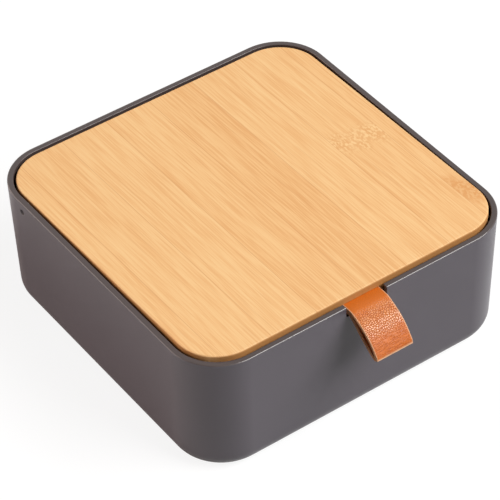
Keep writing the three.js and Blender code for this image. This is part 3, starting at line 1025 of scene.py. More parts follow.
def level_edges(bm: Solid, height: float) -> list[Edge]:
    """The edges that lie wholly at a height."""
    return [edge for edge in bm.edges if all(abs(vert.co.z - height) < SAME_PLACE for vert in edge.verts)]


def rounded_block(half_x: float, half_y: float, low: float, high: float, corner: float,
                  segments: int) -> Solid:
    """A closed block with round upright corners, centred on the origin in X and Y.

    Args:
        half_x: half its width.
        half_y: half its depth.
        low: its underside's height.
        high: its top's height.
        corner: the corners' radius.
        segments: how many faces a corner has.

    Returns:
        The block.
    """
    bm = cube_bmesh((-half_x, -half_y, low), (half_x, half_y, high))
    upright = [e for e in bm.edges if abs(e.verts[0].co.z - e.verts[1].co.z) > (high - low) / 2]
    bevel(bm, upright, corner, segments)
    return bm


def new_object(name: str, data: bpy.types.ID) -> Piece:
    """Puts a mesh, lamp or camera into the scene.

    Args:
        name: the object's name.
        data: its mesh, lamp or camera.

    Returns:
        The object.
    """
    made = bpy.data.objects.new(name, data)
    bpy.context.scene.collection.objects.link(made)
    return made


def shade(mesh: bpy.types.Mesh, sharp_degrees: float) -> None:
    """Shades a mesh smooth, with edges over an angle kept sharp."""
    mesh.shade_smooth()
    mesh.set_sharp_from_angle(angle=math.radians(sharp_degrees))


def object_from(bm: Solid, name: str, sharp_degrees: float = SHARP_DEGREES) -> Piece:
    """Turns a bmesh into a smooth-shaded object, with edges over an angle kept sharp.

    Args:
        bm: the solid, which is used up.
        name: the object's name.
        sharp_degrees: the angle over which an edge stays sharp.

    Returns:
        The object.
    """
    bm.normal_update()
    mesh = bpy.data.meshes.new(name)
    bm.to_mesh(mesh)
    bm.free()
    shade(mesh, sharp_degrees)
    return new_object(name, mesh)


def apply_modifiers(piece: Piece, sharp_degrees: float = SHARP_DEGREES) -> None:
    """Makes the modifiers' result the piece's own mesh.

    Args:
        piece: the object.
        sharp_degrees: the angle over which an edge stays sharp.
    """
    bpy.context.view_layer.update()
    evaluated = piece.evaluated_get(bpy.context.evaluated_depsgraph_get())
    mesh = bpy.data.meshes.new_from_object(evaluated)
    piece.modifiers.clear()
    old = piece.data
    piece.data = mesh
    mesh.name = piece.name
    bpy.data.meshes.remove(old)
    shade(mesh, sharp_degrees)


def joined(parts: Sequence[Solid]) -> Solid:
    """Puts several solids that don't overlap into one bmesh.

    Args:
        parts: the solids, which are used up.

    Returns:
        The one bmesh.
    """
    together = bmesh.new()
    for part in parts:
        mesh = bpy.data.meshes.new("joined_part")
        part.to_mesh(mesh)
        part.free()
        together.from_mesh(mesh)
        bpy.data.meshes.remove(mesh)
    return together


def combine(piece: Piece, others: Sequence[Solid] | Piece, how: Joining = Joining.DIFFERENCE) -> None:
    """Cuts solids from a piece, joins them to it or cuts it to them, and applies the result.

    Args:
        piece: the object that changes.
        others: solids that don't overlap each other, or another object; they are used up.
        how: whether they are added, cut away, or all that is kept of the piece.
    """
    tool = others if isinstance(others, Piece) else object_from(joined(others), "cutting_tool")
    modifier = piece.modifiers.new("combine", "BOOLEAN")
    modifier.operation = how.value
    modifier.solver = "EXACT"
    modifier.object = tool
    apply_modifiers(piece)
    bpy.data.objects.remove(tool)


def soften(piece: Piece, width: float, segments: int = 2) -> None:
    """Gives a piece's remaining sharp edges a small round, and even shading on its flats.

    Args:
        piece: the object.
        width: how wide the round is.
        segments: how many faces it has.
    """
    modifier = piece.modifiers.new("soft_edges", "BEVEL")
    modifier.width = width
    modifier.segments = segments
    modifier.limit_method = "ANGLE"
    modifier.angle_limit = math.radians(SOFTENED_DEGREES)
    modifier.use_clamp_overlap = True
    weighted = piece.modifiers.new("even_normals", "WEIGHTED_NORMAL")
    weighted.keep_sharp = True
    weighted.weight = FLATS_WEIGHT


def plate_from_outline(points: Sequence[Span], low: float, high: float) -> Solid:
    """A closed plate across X from an outline in Y and Z.

    Args:
        points: the outline in Y and Z.
        low: where it starts along X.
        high: where it ends along X.

    Returns:
        The plate.
    """
    bm = bmesh.new()
    face = bm.faces.new([bm.verts.new((low, y, z)) for y, z in points])
    swept = bmesh.ops.extrude_face_region(bm, geom=[face], use_keep_orig=True)
    bmesh.ops.translate(bm, vec=(high - low, 0.0, 0.0), verts=new_verts(swept))
    bmesh.ops.recalc_face_normals(bm, faces=bm.faces)
    return bm


def cylinder_bmesh(radius: float, start: Sequence[float], end: Sequence[float]) -> Solid:
    """A closed cylinder between two points.

    Args:
        radius: its radius.
        start: the middle of one end.
        end: the middle of the other.

    Returns:
        The cylinder.
    """
    bm = bmesh.new()
    start, end = Vector(start), Vector(end)
    axis = end - start
    turn = axis.to_track_quat("Z", "Y").to_matrix().to_4x4()
    bmesh.ops.create_cone(bm, cap_ends=True, segments=CYLINDER_SEGMENTS, radius1=radius, radius2=radius,
                          depth=axis.length, matrix=Matrix.Translation((start + end) / 2) @ turn)
    return bm


def eased(points: Sequence[Span], radius: float, steps: int = 3) -> list[Span]:
    """Rounds every corner of an open outline but its two ends.

    Args:
        points: the outline.
        radius: how far from a corner its round starts.
        steps: how many lines a round has.

    Returns:
        The rounded outline.
    """
    rounded = [points[0]]
    for before, corner, after in zip(points, points[1:], points[2:]):
        a, b, c = Vector(before), Vector(corner), Vector(after)
        reach = min(radius, (a - b).length / 2, (c - b).length / 2)
        start, end = b + (a - b).normalized() * reach, b + (c - b).normalized() * reach
        for step in range(steps + 1):
            share = step / steps
            rounded.append(tuple(start.lerp(b, share).lerp(b.lerp(end, share), share)))
    rounded.append(points[-1])
    return rounded


def turned_bmesh(outline: Sequence[Span], segments: int, place: Matrix) -> Solid:
    """A closed body spun about Z.

    Args:
        outline: radius and height pairs, whose ends are on the axis or at the same point.
        segments: how many steps the turn has.
        place: takes the body from the Z axis to where it goes.

    Returns:
        The body.
    """
    bm = bmesh.new()
    verts = [bm.verts.new((radius, 0.0, height)) for radius, height in outline]
    edges = [bm.edges.new(pair) for pair in zip(verts, verts[1:])]
    bmesh.ops.spin(bm, geom=verts + edges, cent=(0.0, 0.0, 0.0), axis=(0.0, 0.0, 1.0), angle=2 * math.pi,
                   steps=segments, use_merge=True)
    bmesh.ops.remove_doubles(bm, verts=bm.verts, dist=SAME_PLACE / 10)
    bmesh.ops.recalc_face_normals(bm, faces=bm.faces)
    bmesh.ops.transform(bm, matrix=place, verts=bm.verts)
    return bm


def dress(piece: Piece, body: str, slot: Slot, *materials: Material, replaces: str) -> None:
    """Gives a piece its materials and body, hides the CAD node it stands for, and logs it with its slot.

    Args:
        piece: the object.
        body: the body that it rides on.
        slot: the record's material slot.
        *materials: its materials.
        replaces: the CAD node that it stands for.
    """
    piece.data.materials.clear()
    for material in materials:
        piece.data.materials.append(material)
    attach(piece, body)
    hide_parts(replaces)
    LOG.info("%s rides on %s in %s, %d faces", piece.name, body, slot.value, len(piece.data.polygons))


@dataclass
class BoxPlan:
    """The sizes that the case and the lid share, and the places that follow from them."""

    hinge: Vector
    width: float = 180.0 * MM
    height: float = 70.0 * MM
    corner_radius: float = 26.0 * MM
    wall_lean: float = 1.65 * MM
    wall: float = 3.0 * MM
    foot_height: float = 0.8 * MM
    floor: float = 3.0 * MM
    lid_gap: float = 1.2 * MM
    lid_thickness: float = 11.6 * MM
    lid_front_proud: float = 2.0 * MM
    lid_sink_at_pins: float = 0.05 * MM
    pin_from_back: float = 31.0 * MM
    pin_radius: float = 1.0 * MM
    bore_gap: float = 0.1 * MM
    fit_gap: float = 0.3 * MM

    @property
    def shift(self) -> float:
        """How far the case's middle lies behind the frame's origin."""
        return self.hinge.y - (self.width / 2 - self.pin_from_back)

    @property
    def bore_radius(self) -> float:
        """The radius of the pins' bores in the case."""
        return self.pin_radius + self.bore_gap

    @property
    def floor_top(self) -> float:
        """The height of the case's floor."""
        return self.foot_height + self.floor

    @property
    def lid_width(self) -> float:
        """The lid's size, the same both ways."""
        return self.width - 2 * (self.wall + self.lid_gap)

    @property
    def lid_tail(self) -> float:
        """How far the lid reaches behind its pins."""
        return self.pin_from_back - self.wall - self.lid_gap

    @property
    def lid_reach(self) -> float:
        """How far the lid reaches in front of its pins."""
        return self.lid_width - self.lid_tail

    @property
    def lid_tilt(self) -> float:
        """The angle that the shut lid rises to the front."""
        return math.asin((self.lid_front_proud + self.lid_sink_at_pins) / self.lid_reach)

    def outer_half(self, height: float) -> float:
        """Half the case's outer width at a height."""
        return self.width / 2 - self.wall_lean * (self.height - height) / self.height

    def inner_half(self, height: float) -> float:
        """Half the case's inner width at a height."""
        return self.outer_half(height) - self.wall

    @property
    def inside(self) -> CaseInside:
        """What counts as the case's inside."""
        return CaseInside(self.outer_half(0.0) - self.wall / 2, self.wall_lean / self.height,
                          self.corner_radius - self.wall / 2, self.shift, self.hinge, self.bore_radius)

    def place_case(self, bm: Solid) -> Solid:
        """Moves a solid that was drawn about the case's middle to its place."""
        return moved(bm, (0.0, self.shift, 0.0))

    @property
    def lid_place(self) -> Matrix:
        """Takes what is drawn about the pins, with the lid level, to its place."""
        return Matrix.Translation(self.hinge) @ Matrix.Rotation(-self.lid_tilt, 4, "X")

    def place_lid(self, bm: Solid) -> Solid:
        """Turns and moves a solid that was drawn about the pins, with the lid level, to its place."""
        bmesh.ops.transform(bm, matrix=self.lid_place, verts=bm.verts)
        return bm

    def along_pins(self, side: Side) -> Matrix:
        """Takes what is turned about Z, with distances from the middle as heights, to the pins' axis."""
        return Matrix.Translation(self.hinge) @ Matrix.Rotation(side.value * math.pi / 2, 4, "Y")


@dataclass
class SubAssembly(ABC):
    """Some of the box's pieces, with the plan that they follow and the finishes that they wear."""

    plan: BoxPlan
    finishes: Finishes

    @abstractmethod
    def build(self) -> None:
        """Makes its pieces and dresses them."""


@dataclass
class CaseShell(SubAssembly):
    """The moulded case: leaning walls, rounded edges, ribs inside, the loop's notch and the pins' holes."""

    corner_segments: int = 28
    bottom_round: float = 9.0 * MM
    floor_round: float = 6.0 * MM
    rim_outer_round: float = 0.8 * MM
    rim_inner_round: float = 0.4 * MM
    notch_width: float = 23.0 * MM
    notch_depth: float = 5.7 * MM
    notch_round: float = 0.6 * MM
    foot_radius: float = 5.3 * MM
    foot_recess: float = 1.0 * MM
    foot_inset: float = 30.0 * MM
    stop_rib_reach: float = 8.5 * MM
    stop_rib_depth: float = 3.0 * MM
    stop_rib_below_pins: float = 1.0 * MM
    stop_degrees: float = 100.0
    rest_rib_reach: float = 7.5 * MM
    rest_rib_width: float = 7.0 * MM
    rest_rib_height: float = 11.0 * MM
    rest_rib_lip: float = 1.0 * MM
    guide_rib_reach: float = 2.5 * MM
    guide_rib_thickness: float = 1.2 * MM
    guide_rib_below_top: float = 3.0 * MM
    mouth_depth: float = 0.8 * MM
    mouth_round: float = 0.35 * MM
    edge_round: float = 0.25 * MM

    def build(self) -> None:
        """Makes the whole case."""
        piece = object_from(self._shell(), "case_moulding")
        ribs = object_from(joined(self._stop_ribs() + self._rest_ribs() + self._guide_ribs()), "case_ribs")
        combine(ribs, [self._rib_limit()], Joining.INTERSECT)
        combine(piece, ribs, Joining.UNION)
        combine(piece, self._cutters())
        soften(piece, self.edge_round)
        dress(piece, CASE_BODY, Slot.CASE, self.finishes.case, replaces="case_shell")

    def _shell(self) -> Solid:
        """The open box with its rounds, without ribs and cuts.

        Returns:
            The shell.
        """
        plan = self.plan
        half = plan.width / 2
        bm = rounded_block(half, half, plan.foot_height, plan.height, plan.corner_radius, self.corner_segments)
        draw_in(bm, plan.outer_half(plan.foot_height) / half, plan.height / 2)
        bm.normal_update()
        top = next(f for f in bm.faces if f.normal.z > LEVEL_LOOK)
        bmesh.ops.inset_region(bm, faces=[top], thickness=plan.wall, use_boundary=True, use_even_offset=True)
        swept = bmesh.ops.extrude_face_region(bm, geom=[top])
        bmesh.ops.delete(bm, geom=[top], context="FACES_ONLY")
        inner = new_verts(swept)
        shrink = plan.inner_half(plan.floor_top) / (half - plan.wall)
        bmesh.ops.translate(bm, vec=(0.0, 0.0, plan.floor_top - plan.height), verts=inner)
        bmesh.ops.scale(bm, vec=(shrink, shrink, 1.0), verts=inner)
        middle_of_rim = half - plan.wall / 2
        bevel(bm, level_edges(bm, plan.foot_height), self.bottom_round, 10)
        bevel(bm, level_edges(bm, plan.floor_top), self.floor_round, 8)
        for outside, width, segments in ((True, self.rim_outer_round, 4), (False, self.rim_inner_round, 3)):
            edges = [
                edge for edge in level_edges(bm, plan.height)
                if self._far_out(edge, middle_of_rim) == outside
                and edge.calc_face_angle() > math.radians(RIM_DEGREES)
            ]
            bevel(bm, edges, width, segments)
        return plan.place_case(bm)

    def _rib_limit(self) -> Solid:
        """The middle of the walls and floor all round, which no rib passes.

        Returns:
            What the ribs are cut to.
        """
        plan = self.plan
        low = plan.foot_height + plan.floor / 2
        half = plan.width / 2 - plan.wall / 2
        bm = rounded_block(half, half, low, plan.height - self.rim_outer_round,
                           plan.corner_radius - plan.wall / 2, self.corner_segments)
        draw_in(bm, (plan.outer_half(low) - plan.wall / 2) / half, plan.height / 2)
        bevel(bm, level_edges(bm, low), self.bottom_round - plan.floor / 2, 8)
        return plan.place_case(bm)

    def _far_out(self, edge: Edge, half: float) -> bool:
        """Whether an edge of the rim lies outside the rounded square of that half width.

        Args:
            edge: the edge.
            half: the half width.

        Returns:
            Whether it lies outside.
        """
        radius = self.plan.corner_radius - (self.plan.width / 2 - half)
        middle = (edge.verts[0].co + edge.verts[1].co) / 2
        over_x = max(abs(middle.x) - (half - radius), 0.0)
        over_y = max(abs(middle.y) - (half - radius), 0.0)
        return math.hypot(over_x, over_y) > radius

    def stop_rib_reach_along_y(self) -> Span:
        """Where the stops stand on the floor along Y."""
        outline = self._stop_rib_outline()
        return outline[0][0], outline[1][0]

    def _stop_rib_outline(self) -> list[Span]:
        """A stop's side in Y and Z: its slanting back lies along the tail at full opening.

        Returns:
            The outline's corners.
        """
        plan = self.plan
        angle = math.radians(self.stop_degrees)
        offset = plan.lid_thickness / 2 + plan.fit_gap

        def at(along: float) -> Span:
            """A point of the slanting back."""
            return (plan.hinge.y + along * math.cos(angle) - offset * math.sin(angle),
                    plan.hinge.z - along * math.sin(angle) - offset * math.cos(angle))

        drop = plan.lid_thickness / 2 + self.stop_rib_below_pins
        upper = at((drop - offset * math.cos(angle)) / math.sin(angle))
        lower = at(plan.lid_tail)
        front = lower[0] - self.stop_rib_depth
        foot = plan.floor_top - plan.floor / 2
        return [(front, foot), (lower[0], foot), lower, upper, (front, upper[1])]

    def _stop_ribs(self) -> list[Solid]:
        """Posts that the lid's tail comes to rest on when it is fully open.

        Returns:
            Both posts.
        """
        plan = self.plan
        outline = self._stop_rib_outline()
        root = plan.inner_half(plan.floor_top) + plan.wall / 2
        tip = plan.inner_half(plan.height) - self.stop_rib_reach
        return [plate_from_outline(outline, *sorted((side.value * tip, side.value * root))) for side in Side]

    def _rest_ribs(self) -> list[Solid]:
        """Brackets on the front wall under the two bumpers.

        Returns:
            Both brackets.
        """
        plan = self.plan
        made = []
        for side in Side:
            low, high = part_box(f"lid_bumper_{side.word}")
            middle_x = (low.x + high.x) / 2
            tip = plan.shift - plan.inner_half(plan.height) + self.rest_rib_reach
            foot = low.z - self.rest_rib_height
            root = plan.shift - plan.inner_half(foot) - plan.wall / 2
            outline = [(root, foot), (tip, low.z - self.rest_rib_lip), (tip, low.z), (root, low.z)]
            half = self.rest_rib_width / 2
            made.append(plate_from_outline(outline, middle_x - half, middle_x + half))
        return made

    def _guide_ribs(self) -> list[Solid]:
        """Pairs of thin ribs that hold the dividers' ends.

        Returns:
            All of them.
        """
        plan = self.plan
        root = plan.inner_half(plan.floor_top) + plan.wall / 2
        tip = plan.inner_half(plan.floor_top) - self.guide_rib_reach
        low_z = plan.floor_top - plan.floor / 2
        made = []
        for name, ends in (("divider_across", (-1, 1)), ("divider_short", (1,)), ("divider_along", (-1, 1))):
            low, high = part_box(name)
            along_y = high.y - low.y > high.x - low.x
            top = high.z - self.guide_rib_below_top
            start, stop = (low.x, high.x) if along_y else (low.y, high.y)
            for end in ends:
                for face, out in ((start, -1), (stop, 1)):
                    near = face + out * plan.fit_gap
                    sides = sorted((near, near + out * self.guide_rib_thickness))
                    reach = sorted((end * tip, end * root))
                    low_corner, high_corner = (
                        (side, plan.shift + far, z) if along_y else (far, side, z)
                        for side, far, z in zip(sides, reach, (low_z, top))
                    )
                    made.append(cube_bmesh(low_corner, high_corner))
        return made

    def _cutters(self) -> list[Solid]:
        """The notch, the pins' bore and the feet's recesses.

        Returns:
            What is cut from the case.
        """
        plan, over = self.plan, OVERCUT
        front = plan.shift - plan.width / 2
        notch = cube_bmesh((-self.notch_width / 2, front - over, plan.height - self.notch_depth),
                           (self.notch_width / 2, front + plan.wall + over, plan.height + over))
        lower = [e for e in notch.edges if all(v.co.z < plan.height for v in e.verts)
                 and abs(e.verts[0].co.y - e.verts[1].co.y) > over]
        bevel(notch, lower, self.notch_round, 4)
        bore, mouth = plan.bore_radius, plan.bore_radius + self.mouth_round
        outside = plan.outer_half(plan.hinge.z)
        outline = [
            (0.0, outside - plan.wall - over), (bore, outside - plan.wall - over),
            (bore, outside - self.mouth_depth), (mouth, outside - self.mouth_depth + self.mouth_round),
            (mouth, outside + over), (0.0, outside + over),
        ]
        made = [notch, *(turned_bmesh(outline, 40, plan.along_pins(side)) for side in Side)]
        reach = plan.width / 2 - self.foot_inset
        for x in (-reach, reach):
            for y in (plan.shift - reach, plan.shift + reach):
                top = plan.foot_height + self.foot_recess
                made.append(cylinder_bmesh(self.foot_radius, (x, y, plan.foot_height - over), (x, y, top)))
        return made


@dataclass
class StrapScrews(SubAssembly):
    """The two countersunk screws that hold the strap in the lid, up from its underside."""

    from_middle: float = 5.5 * MM
    from_front: float = 6.0 * MM
    head_radius: float = 2.1 * MM
    head_depth: float = 1.2 * MM
    radius: float = 1.0 * MM
    length: float = 8.0 * MM
    point: float = 0.8 * MM
    slot_length: float = 2.5 * MM
    slot_width: float = 0.55 * MM
    slot_depth: float = 0.8 * MM
    head_edge: float = 0.15 * MM
    edge_round: float = 0.08 * MM
    segments: int = 32

    def build(self) -> None:
        """Makes both screws with a cross recess in each head."""
        outline = [
            (0.0, 0.0), (self.head_radius, 0.0), (self.head_radius, self.head_edge),
            (self.radius, self.head_depth), (self.radius, self.length - self.point), (0.0, self.length),
        ]
        for side in Side:
            place = self._place(side)
            screw = turned_bmesh(eased(outline, self.edge_round), self.segments, place)
            piece = object_from(screw, f"lid_screw_{side.word}")
            combine(piece, [self._cross(place)])
            dress(piece, LID_BODY, Slot.STEEL, self.finishes.steel, replaces=f"strap_screw_{side.word}")

    def hole(self, side: Side) -> Solid:
        """A screw's hole with the fit's clearance, about the pins with the lid level.

        Args:
            side: which screw's.

        Returns:
            The cutter.
        """
        plan = self.plan
        gap, over = plan.fit_gap, OVERCUT
        outline = [
            (0.0, -over), (self.head_radius + gap, -over), (self.head_radius + gap, gap),
            (self.radius + gap, self.head_depth + gap), (self.radius + gap, self.length + gap),
            (0.0, self.length + gap),
        ]
        return turned_bmesh(outline, self.segments, plan.lid_place.inverted() @ self._place(side))

    def _place(self, side: Side) -> Matrix:
        """Where a screw's head lies.

        Args:
            side: which screw's.

        Returns:
            Its place, with the head's face at Z 0.
        """
        plan = self.plan
        at = (side.value * self.from_middle, self.from_front - plan.lid_reach, -plan.lid_thickness / 2)
        return plan.lid_place @ Matrix.Translation(at)

    def _cross(self, place: Matrix) -> Solid:
        """The cutter of a head's cross recess.

        Args:
            place: the screw's place.

        Returns:
            The cutter.
        """
        near, far = self.slot_width / 2, self.slot_length / 2
        corners = [(far, near), (near, near), (near, far), (-near, far), (-near, near), (-far, near),
                   (-far, -near), (-near, -near), (-near, -far), (near, -far), (near, -near), (far, -near)]
        bm = plate_from_outline(corners, -self.slot_depth, OVERCUT / 2)
        bmesh.ops.transform(bm, matrix=place @ Matrix.Rotation(math.pi / 2, 4, "Y"), verts=bm.verts)
        return bm


@dataclass
class LidBoard(SubAssembly):
    """The bamboo lid with its mortise, mirror recess, bores and screw holes."""

    screws: StrapScrews
    corner_segments: int = 28
    top_round: float = 1.0 * MM
    under_round: float = 0.6 * MM
    mortise_width: float = 21.2 * MM
    mortise_height: float = 3.9 * MM
    mortise_depth: float = 12.3 * MM
    bush_bore_radius: float = 2.8 * MM
    bush_bore_depth: float = 14.3 * MM
    mirror_margin: float = 0.3 * MM
    mirror_recess: float = 2.3 * MM
    mirror_corner: float = 9.3 * MM
    mirror_corner_segments: int = 12
    edge_round: float = 0.2 * MM

    def build(self) -> None:
        """Makes the lid's board."""
        plan = self.plan
        half, top = plan.lid_width / 2, plan.lid_thickness / 2
        corner = plan.corner_radius - plan.wall - plan.lid_gap
        bm = rounded_block(half, half, -top, top, corner, self.corner_segments)
        bevel(bm, level_edges(bm, top), self.top_round, 5)
        bevel(bm, level_edges(bm, -top), self.under_round, 3)
        moved(bm, (0.0, (plan.lid_tail - plan.lid_reach) / 2, 0.0))
        piece = object_from(plan.place_lid(bm), "lid_bamboo_board")
        combine(piece, [plan.place_lid(cutter) for cutter in self._cutters()])
        soften(piece, self.edge_round)
        dress(piece, LID_BODY, Slot.LID, self.finishes.lid, replaces="lid_board")

    def mirror_bounds(self) -> tuple[float, float, float, float]:
        """Where the mirror lies about the pins with the lid level.

        Returns:
            Left, right, front and back.
        """
        plan = self.plan
        low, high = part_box("lid_mirror")
        slope = math.cos(plan.lid_tilt)
        return low.x, high.x, (low.y - plan.hinge.y) / slope, (high.y - plan.hinge.y) / slope

    def _cutters(self) -> list[Solid]:
        """What is cut from the board, about the pins with the lid level.

        Returns:
            The cutters.
        """
        plan, over = self.plan, OVERCUT
        under = -plan.lid_thickness / 2
        mortise = cube_bmesh((-self.mortise_width / 2, -plan.lid_reach - over, -self.mortise_height / 2),
                             (self.mortise_width / 2, -plan.lid_reach + self.mortise_depth,
                              self.mortise_height / 2))
        left, right, front, back = self.mirror_bounds()
        margin = self.mirror_margin
        recess = rounded_block((right - left) / 2 + margin, (back - front) / 2 + margin, under - over,
                               under + self.mirror_recess, self.mirror_corner, self.mirror_corner_segments)
        made = [mortise, moved(recess, ((left + right) / 2, (front + back) / 2, 0.0))]
        for side in Side:
            start = (side.value * (plan.lid_width / 2 + over), 0.0, 0.0)
            end = (side.value * (plan.lid_width / 2 - self.bush_bore_depth), 0.0, 0.0)
            made.append(cylinder_bmesh(self.bush_bore_radius, start, end))
        return made + [self.screws.hole(side) for side in Side]


@dataclass
class LidMirror(SubAssembly):
    """The mirror let into the lid's underside, with a narrow bevel round its edge."""

    board: LidBoard
    thickness: float = 2.0 * MM
    corner: float = 9.0 * MM
    corner_segments: int = 12
    bevel_width: float = 1.2 * MM
    bevel_depth: float = 0.35 * MM

    def build(self) -> None:
        """Makes the mirror."""
        left, right, front, back = self.board.mirror_bounds()
        under = -self.plan.lid_thickness / 2
        bm = rounded_block((right - left) / 2, (back - front) / 2, under, under + self.thickness,
                           self.corner, self.corner_segments)
        bm.normal_update()
        face = next(f for f in bm.faces if f.normal.z < -LEVEL_LOOK)
        bmesh.ops.inset_region(bm, faces=[face], thickness=self.bevel_width, use_even_offset=True)
        outer = [e for e in level_edges(bm, under) if e not in list(face.edges) and len(e.link_faces) == 2
                 and any(abs(f.normal.z) < UPRIGHT_LOOK for f in e.link_faces)]
        rim = {vert for edge in outer for vert in edge.verts}
        bmesh.ops.translate(bm, vec=(0.0, 0.0, self.bevel_depth), verts=list(rim))
        moved(bm, ((left + right) / 2, (front + back) / 2, 0.0))
        piece = object_from(self.plan.place_lid(bm), "lid_mirror_glass", MIRROR_SHARP_DEGREES)
        dress(piece, LID_BODY, Slot.MIRROR, self.finishes.mirror, replaces="lid_mirror")


@dataclass
class PullLoop(SubAssembly):
    """The folded leather strap: two layers in the mortise, parting outside and turning at a tight fold."""

    screws: StrapScrews
    width: float = 20.6 * MM
    thickness: float = 1.6 * MM
    slit: float = 0.1 * MM
    in_lid: float = 12.0 * MM
    reach: float = 21.0 * MM
    drop: float = 14.8 * MM
    line_points: int = 72
    points_between_knots: int = 24
    columns: int = 10
    edge_round: float = 0.35 * MM
    cut_over_degrees: float = 60.0
    cut_face_look: float = 0.3
    line_shares: tuple[Span, ...] = (
        (0.0, -0.057), (0.14, -0.03), (0.3, 0.075), (0.48, 0.21), (0.64, 0.38), (0.79, 0.59), (0.895, 0.79),
        (0.95, 0.92), (0.945, 0.985), (0.895, 0.995), (0.8, 0.935), (0.66, 0.8), (0.5, 0.625), (0.35, 0.44),
        (0.2, 0.25), (0.09, 0.125), (0.0, 0.057),
    )

    def build(self) -> None:
        """Makes the strap."""
        piece = object_from(self.plan.place_lid(self._band()), "pull_loop_leather")
        thick = piece.modifiers.new("leather_thickness", "SOLIDIFY")
        thick.thickness = self.thickness
        thick.offset = 0.0
        thick.use_even_offset = True
        thick.use_rim = True
        apply_modifiers(piece)
        self._round_edges(piece)
        combine(piece, [self.plan.place_lid(self.screws.hole(side)) for side in Side])
        dress(piece, LID_BODY, Slot.STRAP, self.finishes.leather, self.finishes.leather_edge,
              replaces="pull_strap")
        for face in piece.data.polygons:
            face.material_index = 1 if abs(face.normal.x) > self.cut_face_look else 0

    def _band(self) -> Solid:
        """The strap's middle surface about the pins, with its run and width in metres as a UV map.

        Returns:
            The surface.
        """
        line = self._middle_line()
        bm = bmesh.new()
        verts = [bm.verts.new((-self.width / 2, y, z)) for y, z in line]
        edges = [bm.edges.new(pair) for pair in zip(verts, verts[1:])]
        step = self.width / self.columns
        for _ in range(self.columns):
            swept = bmesh.ops.extrude_edge_only(bm, edges=edges)
            verts = new_verts(swept)
            edges = [item for item in swept["geom"] if isinstance(item, Edge)
                     and all(v in verts for v in item.verts)]
            bmesh.ops.translate(bm, vec=(step, 0.0, 0.0), verts=verts)
        bmesh.ops.recalc_face_normals(bm, faces=bm.faces)
        spacing = sum(math.dist(a, b) for a, b in zip(line, line[1:])) / (self.line_points - 1)
        run = {(round(y, 7), round(z, 7)): at * spacing for at, (y, z) in enumerate(line)}
        layer = bm.loops.layers.uv.new(STRAP_RUN)
        for face in bm.faces:
            for corner in face.loops:
                x, y, z = corner.vert.co
                corner[layer].uv = (x, run[(round(y, 7), round(z, 7))])
        return bm

    def _round_edges(self, piece: Piece) -> None:
        """Rounds the strap's long edges where they were cut.

        Args:
            piece: the strap.
        """
        bm = bmesh.new()
        bm.from_mesh(piece.data)
        bm.normal_update()
        long_edges = [
            e for e in bm.edges
            if len(e.link_faces) == 2 and e.calc_face_angle() > math.radians(self.cut_over_degrees)
            and abs(e.verts[0].co.x - e.verts[1].co.x) < SAME_PLACE
        ]
        bevel(bm, long_edges, self.edge_round, 3)
        bm.to_mesh(piece.data)
        bm.free()
        shade(piece.data, STRAP_SHARP_DEGREES)

    def _middle_line(self) -> list[Span]:
        """Evenly spaced points of the strap's middle line in Y and Z about the pins.

        Returns:
            The points, from the upper inner end round to the lower one.
        """
        plan = self.plan
        layer = (self.thickness + self.slit) / 2
        wall_face = plan.lid_reach + plan.lid_gap + plan.wall
        inner_end = self.in_lid - plan.lid_reach
        knots = [Vector((inner_end, layer)), Vector((-plan.lid_reach, layer))]
        knots += [Vector((-wall_face - out * self.reach, -down * self.drop)) for out, down in self.line_shares]
        knots += [Vector((-plan.lid_reach, -layer)), Vector((inner_end, -layer))]
        fine = self._smooth(knots, self.points_between_knots)
        lengths = [0.0]
        for before, after in zip(fine, fine[1:]):
            lengths.append(lengths[-1] + (after - before).length)
        spaced, at = [], 0
        for number in range(self.line_points):
            goal = lengths[-1] * number / (self.line_points - 1)
            while at < len(lengths) - 2 and lengths[at + 1] < goal:
                at += 1
            share = (goal - lengths[at]) / max(lengths[at + 1] - lengths[at], 1e-12)
            spaced.append(tuple(fine[at].lerp(fine[at + 1], share)))
        return spaced

    @staticmethod
    def _smooth(knots: Sequence[Vector], steps: int) -> list[Vector]:
        """A centripetal curve through the knots, as many close points.

        Args:
            knots: what it passes through.
            steps: how many points a stretch has.

        Returns:
            The points.
        """
        padded = [2 * knots[0] - knots[1], *knots, 2 * knots[-1] - knots[-2]]
        points = []
        for a, b, c, d in zip(padded, padded[1:], padded[2:], padded[3:]):
            times = [0.0]
            for first, second in ((a, b), (b, c), (c, d)):
                times.append(times[-1] + max((second - first).length, 1e-9) ** 0.5)
            for step in range(steps):
                t = times[1] + (times[2] - times[1]) * step / steps
                level = [a, b, c, d]
                for starts, ends in (((0, 1, 2), (1, 2, 3)), ((0, 1), (2, 3)), ((1,), (2,))):
                    level = [low.lerp(high, (t - times[start]) / (times[end] - times[start]))
                             for low, high, start, end in zip(level, level[1:], starts, ends)]
                points.append(level[0])
        points.append(knots[-1])
        return points


